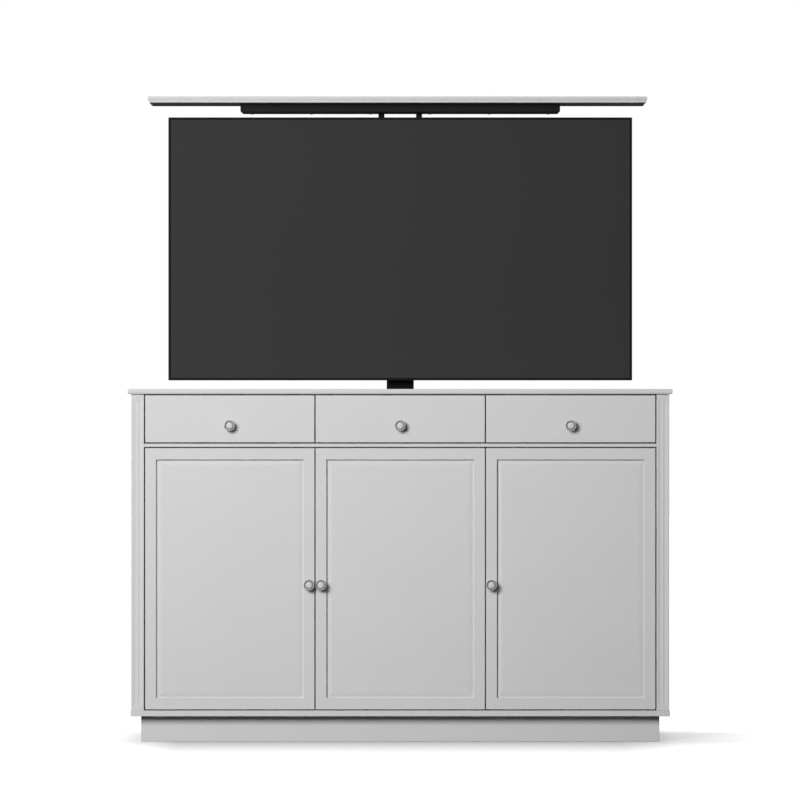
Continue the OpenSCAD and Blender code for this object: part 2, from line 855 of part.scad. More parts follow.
module inner_column() {
    color(black) tube(inner_w, inner_d, inner_foot_z, inner_top);
}

module inner_drive_nut() {
    color(bronze) drive_nut(inner_w, inner_d, inner_foot_z, spindle_tube_r);
}

bar_zs = [screen_mid_z - mount_pitch / 3, screen_mid_z + mount_pitch / 3];
hanger_foot = bar_zs[0] - bar_h;

// One bent plate: a flange on the inner column's head, a sheet in front, and two cross bars
module hanger_bracket() {
    flange_x = post_x + post_w / 2 + hanger_t;
    color(dark_steel) {
        block([-hanger_w / 2, hanger_y, hanger_foot], [hanger_w / 2, hanger_y + hanger_t, flange_z]);
        block(
            [-flange_x, hanger_y, flange_z],
            [flange_x, column_y + inner_d / 2 + hanger_t, flange_z + hanger_t]
        );
        for (z = bar_zs)
            block([-bar_w / 2, bar_y, z - bar_h / 2], [bar_w / 2, hanger_y, z + bar_h / 2]);
    }
}

module mount_points() {
    for (x = [-1, 1], z = [-1, 1])
        translate([x * mount_pitch / 2, 0, screen_mid_z + z * mount_pitch / 2]) children();
}

// Upright channels on the back of the television
module tv_rails() {
    half = mount_pitch / 2 + rail_end;
    sheet = rail_d / 4;
    color(dark_steel) difference() {
        for (side = [-1, 1]) translate([side * mount_pitch / 2, rail_y, screen_mid_z]) difference() {
            block([-rail_w / 2, 0, -half], [rail_w / 2, rail_d, half]);
            block([-rail_w / 2 + sheet, sheet, -half - cut], [rail_w / 2 - sheet, rail_d + cut, half + cut]);
        }
        mount_points() translate([0, rail_y - cut, 0]) rotate([-90, 0, 0])
            cylinder(r = screw_r + pin_clear, h = sheet + 2 * cut);
    }
}

module rail_screws() {
    sheet = rail_d / 4;
    color(steel) mount_points() translate([0, rail_y - cover_t - screw_r, 0]) rotate([-90, 0, 0]) {
        cylinder(r = screw_r, h = cover_t + screw_r + sheet);
        translate([0, 0, cover_t + screw_r + sheet]) cylinder(r = 2 * screw_r, h = screw_r);
    }
}

module lid_posts() {
    color(black) for (side = [-1, 1])
        block(
            [side * post_x - post_w / 2, post_y, flange_z + hanger_t],
            [side * post_x + post_w / 2, post_y + post_w, tray_z]
        );
}

// Folded sheet tray in two tiers, open under the lid
module lid_carrier() {
    lo = [-carrier_w / 2, lid_mid_y - carrier_d / 2];
    hi = [carrier_w / 2, lid_mid_y + carrier_d / 2];
    wall = tray_inset + carrier_sheet;
    color(black) difference() {
        union() {
            block([lo[0], lo[1], carrier_z], [hi[0], hi[1], lid_z]);
            block(
                [lo[0] + tray_inset, lo[1] + tray_inset, tray_z],
                [hi[0] - tray_inset, hi[1] - tray_inset, carrier_z]
            );
        }
        block(
            [lo[0] + carrier_sheet, lo[1] + carrier_sheet, carrier_z + carrier_sheet],
            [hi[0] - carrier_sheet, hi[1] - carrier_sheet, lid_z + cut]
        );
        block(
            [lo[0] + wall, lo[1] + wall, tray_z + carrier_sheet],
            [hi[0] - wall, hi[1] - wall, lid_z + cut]
        );
    }
}

// Corners of the liner, which lies in a recess in the underside of the lid
liner_lo = [lid_shift - lid_w / 2 + liner_inset, lid_y + liner_inset];
liner_hi = [lid_shift + lid_w / 2 - liner_inset, lid_back_y - liner_inset];

module lid_liner() {
    color(black) block(
        [liner_lo[0], liner_lo[1], lid_z], [liner_hi[0], liner_hi[1], lid_z + liner_t]
    );
}

module lid_panel() {
    color(paint) difference() {
        translate([lid_shift, 0, lid_z])
            moulded_board(
                [-lid_w / 2, lid_y], [lid_w / 2, lid_back_y], lid_t,
                lid_end_shares, lid_side_shares, lid_side_shares
            );
        block(
            [liner_lo[0], liner_lo[1], lid_z - cut], [liner_hi[0], liner_hi[1], lid_z + liner_t]
        );
    }
}

// Television, raised

module tv_screen() {
    half = screen_w / 2 - bezel_w;
    color(screen_grey) block(
        [-half, screen_y + panel_set, screen_z + bezel_w],
        [half, screen_y + panel_set + panel_t, screen_top - bezel_w]
    );
}

module tv_bezel() {
    half = screen_w / 2;
    color(black) difference() {
        block([-half, screen_y, screen_z], [half, cover_y, screen_top]);
        block(
            [-half + bezel_w, screen_y - cut, screen_z + bezel_w],
            [half - bezel_w, cover_y + cut, screen_top - bezel_w]
        );
    }
}

// Back sheet with a rim that backs the display panel, and the electronics housing
module tv_back_cover() {
    half = screen_w / 2;
    rim_x = half - bezel_w;
    panel_back = screen_y + panel_set + panel_t;
    color(black) difference() {
        union() {
            block([-half, cover_y, screen_z], [half, housing_y, screen_top]);
            block([-rim_x, panel_back, screen_z + bezel_w], [rim_x, cover_y, screen_top - bezel_w]);
            block([-housing_w / 2, housing_y, housing_z], [housing_w / 2, housing_back_y, housing_top]);
        }
        block(
            [-rim_x + cover_t, panel_back - cut, screen_z + bezel_w + cover_t],
            [rim_x - cover_t, cover_y, screen_top - bezel_w - cover_t]
        );
        block(
            [-housing_w / 2 + cover_t, panel_back - cut, housing_z + cover_t],
            [housing_w / 2 - cover_t, housing_back_y - cover_t, housing_top - cover_t]
        );
        mount_points() translate([0, housing_back_y - cover_t - cut, 0]) rotate([-90, 0, 0])
            cylinder(r = screw_r + pin_clear, h = cover_t + 2 * cut);
    }
}

top_slab();
side_panel(-1);  // side_panel_left
side_panel(1);  // side_panel_right
pilaster(-1);  // pilaster_left
pilaster(1);  // pilaster_right
bottom_board();
plinth_front();
plinth_rear();
plinth_side(-1);  // plinth_left
plinth_side(1);  // plinth_right
back_panel();
divider_panel();
partition(-1);  // partition_left
partition(1);  // partition_right
drawer_shelf();
bay_shelves();
shelf_pins();
hinge_pins();
door_catches();
runner_strips();
cable_grommet();
lift_base();
base_bolts();
outer_column();
outer_glides();
gearbox();
lift_motor();
control_box();
middle_column();
middle_drive_nut();
middle_glides();
lower_spindle();
upper_spindle();
inner_column();
inner_drive_nut();
hanger_bracket();
tv_rails();
rail_screws();
lid_posts();
lid_carrier();
lid_liner();
lid_panel();
tv_screen();
tv_bezel();
tv_back_cover();
door(0);  // door_left
door(1);  // door_middle
door(2);  // door_right
door_knob(0);  // door_knob_left
door_knob(1);  // door_knob_middle
door_knob(2);  // door_knob_right
drawer_front(0);  // drawer_front_left
drawer_front(1);  // drawer_front_middle
drawer_front(2);  // drawer_front_right
drawer_box(0);  // drawer_box_left
drawer_box(1);  // drawer_box_middle
drawer_box(2);  // drawer_box_right
drawer_knob(0);  // drawer_knob_left
drawer_knob(1);  // drawer_knob_middle
drawer_knob(2);  // drawer_knob_right
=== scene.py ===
"""Looks of a television lift cabinet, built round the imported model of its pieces.

Lengths are in metres, in the model's frame: the front is -Y, the right is +X and the floor is z = 0.
"""

import json
import math

import bmesh
import bpy
from bpy.props import FloatProperty, FloatVectorProperty, IntProperty, PointerProperty
from bpy.types import Operator, Panel, PropertyGroup
from mathutils import Matrix, Vector

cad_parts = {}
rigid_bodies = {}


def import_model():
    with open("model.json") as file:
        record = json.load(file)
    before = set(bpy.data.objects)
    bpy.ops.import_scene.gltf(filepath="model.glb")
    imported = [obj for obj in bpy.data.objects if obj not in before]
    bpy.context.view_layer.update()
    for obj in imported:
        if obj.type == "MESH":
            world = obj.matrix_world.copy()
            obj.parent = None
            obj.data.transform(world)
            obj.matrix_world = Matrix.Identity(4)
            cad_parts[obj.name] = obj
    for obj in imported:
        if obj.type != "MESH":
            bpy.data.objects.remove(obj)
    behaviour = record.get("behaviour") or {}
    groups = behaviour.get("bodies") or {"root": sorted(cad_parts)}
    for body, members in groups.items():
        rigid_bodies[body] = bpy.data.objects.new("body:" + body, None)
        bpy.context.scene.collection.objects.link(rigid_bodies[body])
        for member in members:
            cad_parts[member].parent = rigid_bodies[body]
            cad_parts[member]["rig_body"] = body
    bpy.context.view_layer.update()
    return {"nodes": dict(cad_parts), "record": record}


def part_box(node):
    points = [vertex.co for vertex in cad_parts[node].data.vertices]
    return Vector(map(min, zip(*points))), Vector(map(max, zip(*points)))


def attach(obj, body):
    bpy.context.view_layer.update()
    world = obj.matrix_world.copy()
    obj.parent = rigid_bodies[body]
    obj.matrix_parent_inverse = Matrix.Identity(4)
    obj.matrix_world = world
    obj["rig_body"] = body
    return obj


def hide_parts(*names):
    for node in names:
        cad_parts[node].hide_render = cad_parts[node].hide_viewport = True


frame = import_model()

bl_info = {
    "name": "Television lift cabinet",
    "version": (1, 0, 0),
    "blender": (4, 5, 0),
    "location": "3D View > Sidebar > TV Lift",
    "description": "Builds the finished pieces of a television lift cabinet round its frame",
    "category": "Add Mesh",
}

MM = 0.001
SIDES = ("left", "middle", "right")
SLOT_OF = {part["node"]: part["material_slot"] for part in frame["record"]["subparts"]}
SLOT_COLOUR = {entry["slot"]: tuple(entry["base_color"][:3]) for entry in frame["record"]["materials"]}
Y_AXIS, Z_AXIS = Vector((0, 1, 0)), Vector((0, 0, 1))


# Settings


def length(name, description, default, high=10.0):
    return FloatProperty(
        name=name, description=description, default=default, min=0.0, max=high, unit="LENGTH", precision=5
    )


def colour(name, description, slot):
    return FloatVectorProperty(
        name=name, description=description, default=SLOT_COLOUR[slot], min=0, max=1, subtype="COLOR", size=3
    )


class TVLIFT_PG_finish(PropertyGroup):
    """Colours and edges of the finished pieces."""

    paint: colour("Paint", "Colour of the painted boards", "paint")
    birch: colour("Birch", "Colour of the lacquered drawer boxes", "birch")
    black_metal: colour("Column black", "Powder coat of the columns and the lid's carrier", "black_metal")
    dark_metal: colour("Bracket black", "Powder coat of the brackets and rails", "dark_metal")
    steel: colour("Steel", "Zinc plated steel of pins, bolts and spindles", "steel")
    nickel: colour("Nickel", "Satin metal of the knobs", "nickel")
    bronze: colour("Bronze", "Metal of the drive nuts", "bronze")
    grey_plastic: colour("Grey plastic", "Moulded plastic of the drive and the glides", "grey_plastic")
    black_plastic: colour("Black plastic", "Moulded plastic of the television's back", "black_plastic")
    bezel: colour("Frame black", "Anodised frame round the screen", "bezel")
    screen: colour("Screen", "Colour of the switched-off screen", "screen")
    # The felt's dark colour is painted shade under the lid.
    felt: colour("Felt", "Colour of the liner under the lid", "felt")
    board_round: length("Board edges", "Radius of the eased edges of the boards", 1.0 * MM)
    metal_round: length("Metal edges", "Radius of the eased edges of metal sheet", 0.5 * MM)
    column_round: length("Column corners", "Radius of the corners of the columns", 1.4 * MM)
    plastic_round: length("Plastic edges", "Radius of the eased edges of mouldings", 0.8 * MM)


class TVLIFT_PG_stage(PropertyGroup):
    """Camera and light."""

    camera_height: length("Camera height", "Height of the camera above the floor", 0.8913)
    camera_back: length("Camera distance", "Distance of the camera in front of the origin", 15.702, high=40)
    camera_side: length("Camera shift", "Place of the camera to the left of the middle", 0.65 * MM)
    lens: FloatProperty(
        name="Lens", description="Focal length in millimetres", default=267.975, min=20, unit="CAMERA"
    )
    key_power: FloatProperty(
        name="Key lamp", description="Power of the lamp at the front left", default=186, min=0, unit="POWER"
    )
    sky_level: FloatProperty(
        name="Sky", description="Level of the soft light all round", default=0.12, min=0, subtype="FACTOR"
    )


class TVLIFT_PG_knob(PropertyGroup):
    """Turned knobs of the doors and drawers."""

    steps: IntProperty(
        name="Steps", description="Faces round a knob", default=72, min=24, max=160, subtype="UNSIGNED"
    )


# Wiring of node trees


class Wiring:
    """Adds nodes to a tree and joins them. A value given to a socket is a constant or another socket."""

    def __init__(self, tree):
        self.tree = tree

    def add(self, kind, inputs=None, **settings):
        node = self.tree.nodes.new(kind)
        for name, value in settings.items():
            setattr(node, name, value)
        for key, value in (inputs or {}).items():
            self.join(value, node.inputs[key])
        return node

    def join(self, value, socket):
        if isinstance(value, bpy.types.NodeSocket):
            self.tree.links.new(value, socket)
        else:
            socket.default_value = value

    def calc(self, operation, *values):
        return self.add("ShaderNodeMath", dict(enumerate(values)), operation=operation).outputs[0]

    def spread(self, value, low, high, to_low=0.0, to_high=1.0):
        sockets = {"Value": value, "From Min": low, "From Max": high, "To Min": to_low, "To Max": to_high}
        return self.add("ShaderNodeMapRange", sockets).outputs["Result"]

    def noise(self, vector, scale, detail, roughness=0.5):
        sockets = {"Vector": vector, "Scale": scale, "Detail": detail, "Roughness": roughness}
        return self.add("ShaderNodeTexNoise", sockets).outputs["Fac"]

    def stretched(self, vector, factors):
        sockets = {0: vector, 1: factors}
        return self.add("ShaderNodeVectorMath", sockets, operation="MULTIPLY").outputs[0]

    def mix(self, factor, a, b):
        """A mix of two colours, whose sockets are the node's inputs 6 and 7 and its output 2."""
        return self.add("ShaderNodeMix", {0: factor, 6: a, 7: b}, data_type="RGBA").outputs[2]

    def bump(self, height, distance, strength):
        sockets = {"Height": height, "Distance": distance, "Strength": strength}
        return self.add("ShaderNodeBump", sockets).outputs["Normal"]


def fill_interface(group, inputs, outputs):
    """Gives a node group its sockets. Inputs are (name, kind, default), and outputs are (name, kind)."""
    for label, kind, default in inputs:
        socket = group.interface.new_socket(label, in_out="INPUT", socket_type=f"NodeSocket{kind}")
        if default is not None:
            socket.default_value = default
    for label, kind in outputs:
        group.interface.new_socket(label, in_out="OUTPUT", socket_type=f"NodeSocket{kind}")


def shared_group(name, inputs, outputs):
    """A shader node group with its wiring, the sockets that it is given and those that it fills."""
    group = bpy.data.node_groups.new(name, "ShaderNodeTree")
    fill_interface(group, [("Vector", "Vector", None), *inputs], outputs)
    w = Wiring(group)
    return group, w, w.add("NodeGroupInput").outputs, w.add("NodeGroupOutput").inputs


def geometry_group(name, inputs):
    """A geometry node group with its wiring and the sockets that it is given."""
    group = bpy.data.node_groups.new(name, "GeometryNodeTree")
    group.is_modifier = True
    fill_interface(group, [("Geometry", "Geometry", None), *inputs], [("Geometry", "Geometry")])
    w = Wiring(group)
    return group, w, w.add("NodeGroupInput").outputs


def group_named(name):
    """A node group, which is made the first time that it is asked for."""
    return bpy.data.node_groups.get(name) or GROUP_MAKERS[name]()


def use_group(w, name, inputs):
    """The outputs of a shared group that is placed in a material."""
    node = w.add("ShaderNodeGroup", node_tree=group_named(name))
    for key, value in inputs.items():
        w.join(value, node.inputs[key])
    return node.outputs


# Effects that several finishes share


def stipple_group():
    """Fine bumps of a sprayed or moulded surface, at two sizes."""
    group, w, given, out = shared_group("fine_stipple", [("Scale", "Float", 600.0)], [("Height", "Float")])
    broad_scale, broad_share = 0.22, 0.6
    fine = w.noise(given["Vector"], given["Scale"], detail=2.0)
    broad = w.noise(given["Vector"], w.calc("MULTIPLY", given["Scale"], broad_scale), detail=1.0)
    w.join(w.calc("MULTIPLY_ADD", broad, broad_share, fine), out["Height"])
    return group


def mottle_group():
    """A colour that drifts a little lighter and darker over a surface."""
    group, w, given, out = shared_group(
        "soft_mottle", [("Color", "Color", None), ("Scale", "Float", 8.0), ("Amount", "Float", 0.03)],
        [("Color", "Color")],
    )
    cloud = w.noise(given["Vector"], given["Scale"], detail=4.0, roughness=0.6)
    swing = w.calc("MULTIPLY", w.calc("SUBTRACT", cloud, 0.5), given["Amount"])
    level = w.calc("MULTIPLY_ADD", swing, 2.0, 1.0)
    shade = w.add("ShaderNodeVectorMath", {0: given["Color"], "Scale": level}, operation="SCALE")
    w.join(shade.outputs[0], out["Color"])
    return group


def edge_group():
    """A mask that is 1 on worn outer edges and 0 on flat faces."""
    group, w, given, out = shared_group(
        "edge_wear", [("Radius", "Float", 0.001), ("Gain", "Float", 4.0)], [("Mask", "Float")]
    )
    eased = w.add("ShaderNodeBevel", {"Radius": given["Radius"]}, samples=4).outputs["Normal"]
    flat = w.add("ShaderNodeNewGeometry").outputs["Normal"]
    together = w.add("ShaderNodeVectorMath", {0: eased, 1: flat}, operation="DOT_PRODUCT").outputs["Value"]
    turned_away = w.calc("SUBTRACT", 1.0, together)
    broken = w.noise(given["Vector"], scale=60.0, detail=3.0)
    worn = w.calc("MULTIPLY", w.calc("MULTIPLY", turned_away, given["Gain"]), broken)
    w.join(w.add("ShaderNodeClamp", {"Value": worn}).outputs[0], out["Mask"])
    return group


def brushed_group():
    """Fine parallel lines, such as a brush or a lathe tool leaves."""
    group, w, given, out = shared_group(
        "brushed_lines", [("Stretch", "Vector", (20.0, 900.0, 900.0)), ("Scale", "Float", 1.0)],
        [("Height", "Float")],
    )
    drawn = w.stretched(given["Vector"], given["Stretch"])
    w.join(w.noise(drawn, given["Scale"], detail=3.0, roughness=0.6), out["Height"])
    return group


def wood_group():
    """Plain sawn grain that runs along x, with its fibres."""
    group, w, given, out = shared_group(
        "wood_grain", [("Light", "Color", None), ("Dark", "Color", None)],
        [("Color", "Color"), ("Height", "Float")],
    )
    along_x, fibre_stretch = (1.2, 14.0, 14.0), (30.0, 900.0, 900.0)
    bands_share, waver_share, fibres_share = 0.45, 0.35, 0.3
    lengthwise = w.stretched(given["Vector"], along_x)
    waver = w.noise(lengthwise, scale=2.0, detail=3.0, roughness=0.55)
    rings = {"Vector": lengthwise, "Scale": 1.6, "Distortion": 7.0, "Detail": 2.0, "Detail Scale": 1.4}
    bands = w.add("ShaderNodeTexWave", rings, wave_type="RINGS", rings_direction="X").outputs["Fac"]
    fibres = w.noise(w.stretched(given["Vector"], fibre_stretch), scale=1.0, detail=2.0)
    blend = w.calc("MULTIPLY_ADD", bands, bands_share, w.calc("MULTIPLY", waver, waver_share))
    blend = w.calc("MULTIPLY_ADD", fibres, fibres_share, blend)
    w.join(w.mix(blend, given["Light"], given["Dark"]), out["Color"])
    w.join(fibres, out["Height"])
    return group


# Geometry groups for what repeats

POINT_INPUTS = (
    ("Axis", "Vector", (0, 0, 1)), ("Turn", "Float", 0.0), ("Seed", "Int", 4), ("Material", "Material", None)
)


def end_group(w, geometry, material):
    """Realizes the instances, gives them their material and sends them out."""
    real = w.add("GeometryNodeRealizeInstances", {"Geometry": geometry}).outputs[0]
    dressed = w.add("GeometryNodeSetMaterial", {"Geometry": real, "Material": material}).outputs[0]
    w.add("NodeGroupOutput", {"Geometry": dressed})


def cylinder(w, sides, radius, depth):
    sizes = {"Vertices": sides, "Radius": radius, "Depth": depth}
    return w.add("GeometryNodeMeshCylinder", sizes).outputs["Mesh"]


def raised(w, geometry, height):
    """The geometry, moved up along Z."""
    lift = w.add("ShaderNodeCombineXYZ", {"Z": height}).outputs[0]
    return w.add("GeometryNodeTransform", {"Geometry": geometry, "Translation": lift}).outputs[0]


def cut_from(w, solid, cutter):
    both = {"Mesh 1": solid, "Mesh 2": cutter}
    return w.add("GeometryNodeMeshBoolean", both, operation="DIFFERENCE").outputs["Mesh"]


def spin(w, angle):
    """A rotation round Z."""
    return w.add("FunctionNodeAxisAngleToRotation", {"Axis": (0, 0, 1), "Angle": angle}).outputs[0]


def instances(w, points, piece, **rotation):
    placing = {"Points": points, "Instance": piece, **rotation}
    return w.add("GeometryNodeInstanceOnPoints", placing).outputs[0]


def on_points(w, points, piece, given):
    """Instances of a piece on points, with its Z along the group's axis and a turn of its own."""
    greatest, number = 3, 1
    drawn = w.add("FunctionNodeRandomValue", {greatest: given["Turn"], "Seed": given["Seed"]})
    aiming = {"Rotation": spin(w, drawn.outputs[number]), "Vector": given["Axis"]}
    aimed = w.add("FunctionNodeAlignRotationToVector", aiming, axis="Z").outputs[0]
    return instances(w, points, piece, Rotation=aimed)


# Shares of a screw's radius: the height of its head, and the length and width of the recess's bars. The bars
# are raised by a share of the head's height.
SCREW_HEIGHT, RECESS_LONG, RECESS_WIDE = 0.5, 1.25, 0.26
RECESS_RISE = 0.6
SCREW_SIDES, HOLE_SIDES = 24, 20

# A bolt's tiers from its washer up: sides, then width, foot and top as shares of its radius.
BOLT_TIERS = ((32, 1.45, 0.0, 0.22), (6, 1.0, 0.22, 0.85), (24, 0.72, 0.85, 0.92))


def screw_group():
    """Flat heads with a cross recess, one on each point."""
    group, w, given = geometry_group("cross_screws", [("Radius", "Float", 0.003), *POINT_INPUTS])
    radius = given["Radius"]
    height = w.calc("MULTIPLY", radius, SCREW_HEIGHT)
    head = cylinder(w, SCREW_SIDES, radius, height)
    long, wide = w.calc("MULTIPLY", radius, RECESS_LONG), w.calc("MULTIPLY", radius, RECESS_WIDE)
    for x, y in ((long, wide), (wide, long)):
        size = w.add("ShaderNodeCombineXYZ", {"X": x, "Y": y, "Z": height}).outputs[0]
        bar = w.add("GeometryNodeMeshCube", {"Size": size}).outputs["Mesh"]
        head = cut_from(w, head, raised(w, bar, w.calc("MULTIPLY", height, RECESS_RISE)))
    head = raised(w, head, w.calc("MULTIPLY", height, 0.5))
    end_group(w, on_points(w, given["Geometry"], head, given), given["Material"])
    return group


def bolt_group():
    """Hexagon heads on round washers, one on each point."""
    group, w, given = geometry_group("hexagon_bolts", [("Radius", "Float", 0.005), *POINT_INPUTS])
    radius = given["Radius"]
    parts = w.add("GeometryNodeJoinGeometry")
    for sides, width, low, high in BOLT_TIERS:
        wide, deep = w.calc("MULTIPLY", radius, width), w.calc("MULTIPLY", radius, high - low)
        tier = raised(w, cylinder(w, sides, wide, deep), w.calc("MULTIPLY", radius, (low + high) / 2))
        w.join(tier, parts.inputs[0])
    end_group(w, on_points(w, given["Geometry"], parts.outputs[0], given), given["Material"])
    return group


def cutting_group(name, own_inputs, make_cutter):
    """Cuts a piece at the points of another object, with the cutter that make_cutter wires."""
    group, w, given = geometry_group(name, [("Places", "Object", None), *own_inputs, *POINT_INPUTS])
    source = w.add("GeometryNodeObjectInfo", {"Object": given["Places"]}, transform_space="RELATIVE")
    cutters = on_points(w, source.outputs["Geometry"], make_cutter(w, given), given)
    solid = w.add("GeometryNodeRealizeInstances", {"Geometry": cutters}).outputs[0]
    end_group(w, cut_from(w, given["Geometry"], solid), given["Material"])
    return group


def hole_group():
    """Round holes of a given radius and depth."""

    def cutter(w, given):
        return cylinder(w, HOLE_SIDES, given["Radius"], w.calc("MULTIPLY", given["Depth"], 2.0))

    return cutting_group("round_holes", [("Radius", "Float", 0.003), ("Depth", "Float", 0.008)], cutter)


def slot_group():
    """Straight slots of a given size."""

    def cutter(w, given):
        return w.add("GeometryNodeMeshCube", {"Size": given["Size"]}).outputs["Mesh"]

    return cutting_group("vent_slots", [("Size", "Vector", (0.003, 0.03, 0.01))], cutter)


def thread_group():
    """Ridges of a thread with several starts, round the Z axis of each point."""
    own = [
        ("Radius", "Float", 0.008), ("Length", "Float", 0.3), ("Lead", "Float", 0.02), ("Starts", "Int", 4),
        ("Depth", "Float", 0.001), ("Material", "Material", None),
    ]
    group, w, given = geometry_group("thread_ridges", own)
    radius, long, starts = given["Radius"], given["Length"], given["Starts"]
    spiral = {
        "Resolution": 28, "Rotations": w.calc("DIVIDE", long, given["Lead"]),
        "Start Radius": radius, "End Radius": radius, "Height": long,
    }
    path = w.add("GeometryNodeCurveSpiral", spiral).outputs["Curve"]
    circle = {"Resolution": 6, "Radius": given["Depth"]}
    profile = w.add("GeometryNodeCurvePrimitiveCircle", circle).outputs["Curve"]
    swept = {"Curve": path, "Profile Curve": profile, "Fill Caps": True}
    ridge = w.add("GeometryNodeCurveToMesh", swept).outputs["Mesh"]
    spots = w.add("GeometryNodeMeshLine", {"Count": starts, "Offset": (0, 0, 0)}).outputs["Mesh"]
    index = w.add("GeometryNodeInputIndex").outputs[0]
    angle = w.calc("DIVIDE", w.calc("MULTIPLY", index, math.tau), starts)
    ridges = instances(w, spots, ridge, Rotation=spin(w, angle))
    end_group(w, instances(w, given["Geometry"], ridges), given["Material"])
    return group


GROUP_MAKERS = {
    "fine_stipple": stipple_group,
    "soft_mottle": mottle_group,
    "edge_wear": edge_group,
    "brushed_lines": brushed_group,
    "wood_grain": wood_group,
    "cross_screws": screw_group,
    "hexagon_bolts": bolt_group,
    "round_holes": hole_group,
    "vent_slots": slot_group,
    "thread_ridges": thread_group,
}


# Finishes. Each makes one material.

# What the sum of a full noise and a weaker one mostly runs through.
NOISE_SPAN = (0.4, 1.1)


def start_finish(name, **sockets):
    """A material with its wiring, its Principled shader's inputs and the piece's own coordinates."""
    material = bpy.data.materials.new(name)
    material.use_nodes = True
    w = Wiring(material.node_tree)
    shader = material.node_tree.nodes["Principled BSDF"].inputs
    for key, value in sockets.items():
        shader[key.replace("_", " ")].default_value = value
    return material, w, shader, w.add("ShaderNodeTexCoord").outputs["Object"]


def opaque(rgb):
    return (*rgb, 1.0)


def toned(rgb, factor):
    """The colour, darker for a factor below 1 and lighter above it."""
    return opaque([min(1.0, part * factor) for part in rgb])


def drifting(w, place, rgb, scale, amount):
    """A colour whose level drifts a little over the surface."""
    values = {"Vector": place, "Color": opaque(rgb), "Scale": scale, "Amount": amount}
    return use_group(w, "soft_mottle", values)["Color"]


def rubbed(w, place, base, bright, radius, gain, share):
    """A colour that gives way to a brighter one along worn edges."""
    edge = use_group(w, "edge_wear", {"Vector": place, "Radius": radius, "Gain": gain})["Mask"]
    return w.mix(w.calc("MULTIPLY", edge, share), base, bright)


def stippled(w, place, scale):
    return use_group(w, "fine_stipple", {"Vector": place, "Scale": scale})["Height"]


def set_surface(w, shader, height, span, rough, depth, strength):
    """Roughness and bump from a height: its span is turned into the range of roughness."""
    w.join(w.spread(height, *span, *rough), shader["Roughness"])
    w.join(w.bump(height, depth, strength), shader["Normal"])


def set_lines(w, shader, place, stretch, rough, depth):
    """Bump from fine lines, and roughness from the lines with smears on them. Gives the smears back."""
    lines = use_group(w, "brushed_lines", {"Vector": place, "Stretch": stretch})["Height"]
    smears = w.noise(place, scale=70.0, detail=3.0)
    smeared = w.calc("MULTIPLY_ADD", smears, 0.5, lines)
    w.join(w.spread(smeared, *NOISE_SPAN, *rough), shader["Roughness"])
    w.join(w.bump(lines, depth, strength=0.5), shader["Normal"])
    return smears


def sheen_lost_at_edges(w, level):
    """Specular level of a fine matt coat, whose own texture hides its gloss at a flat angle."""
    still_full, all_lost = 0.55, 0.85
    facing = w.add("ShaderNodeLayerWeight", {"Blend": 0.5}).outputs["Facing"]
    return w.calc("MULTIPLY", w.spread(facing, still_full, all_lost, to_low=1.0, to_high=0.0), level)


def paint_finish(rgb):
    """Satin paint: a faint stipple, rubbed a little lighter on its edges."""
    material, w, shader, place = start_finish("satin_paint", Specular_IOR_Level=0.25)
    drift = drifting(w, place, rgb, scale=6.0, amount=0.025)
    worn = rubbed(w, place, drift, toned(rgb, 1.12), radius=0.8 * MM, gain=2.0, share=0.35)
    w.join(worn, shader["Base Color"])
    skin = stippled(w, place, scale=420.0)
    set_surface(w, shader, skin, NOISE_SPAN, rough=(0.46, 0.56), depth=0.05 * MM, strength=0.5)
    return material


def birch_finish(rgb):
    """Lacquered wood, a little duller on its dark fibres."""
    material, w, shader, place = start_finish("lacquered_birch", Specular_IOR_Level=0.35)
    tones = {"Vector": place, "Light": toned(rgb, 1.1), "Dark": toned(rgb, 0.72)}
    grain = use_group(w, "wood_grain", tones)
    w.join(grain["Color"], shader["Base Color"])
    set_surface(w, shader, grain["Height"], (0.3, 0.7), rough=(0.42, 0.55), depth=0.06 * MM, strength=0.5)
    return material


def coat_finish(name, rgb, scale, depth, level):
    """Powder coat or moulded plastic: a fine stipple over one colour, rubbed lighter on its edges."""
    material, w, shader, place = start_finish(name)
    w.join(sheen_lost_at_edges(w, level), shader["Specular IOR Level"])
    drift = drifting(w, place, rgb, scale=14.0, amount=0.12)
    worn = rubbed(w, place, drift, toned(rgb, 2.0), radius=0.6 * MM, gain=1.6, share=0.3)
    w.join(worn, shader["Base Color"])
    skin = stippled(w, place, scale)
    set_surface(w, shader, skin, NOISE_SPAN, rough=(0.42, 0.6), depth=depth, strength=0.6)
    return material


def metal_finish(name, rgb, stretch, rough, depth):
    """Bare metal with the fine lines of its making, and smears that change its gloss."""
    material, w, shader, place = start_finish(name, Metallic=1.0)
    w.join(drifting(w, place, rgb, scale=30.0, amount=0.06), shader["Base Color"])
    set_lines(w, shader, place, stretch, rough=(rough * 0.8, rough * 1.25), depth=depth)
    return material


def knob_finish(rgb):
    """Satin nickel, bright on its face; painted shade darkens it with depth, in its groove and on its neck.
    """
    material, w, shader, place = start_finish("satin_nickel", Metallic=0.2, Specular_IOR_Level=0.2)
    bright_to, dark_from, ragged = 1.1 * MM, 3.2 * MM, 0.6 * MM
    lines = (400.0, 400.0, 400.0)
    smears = set_lines(w, shader, place, stretch=lines, rough=(0.55, 0.75), depth=0.004 * MM)
    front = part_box("door_knob_left")[0].y
    depth = w.calc("SUBTRACT", w.add("ShaderNodeSeparateXYZ", {0: place}).outputs["Y"], front)
    # Painted shade: the colour turns darker with depth behind the knob's face.
    painted_shade_by_depth = w.spread(w.calc("MULTIPLY_ADD", smears, ragged, depth), bright_to, dark_from)
    w.join(w.mix(painted_shade_by_depth, toned(rgb, 0.86), toned(rgb, 0.62)), shader["Base Color"])
    return material


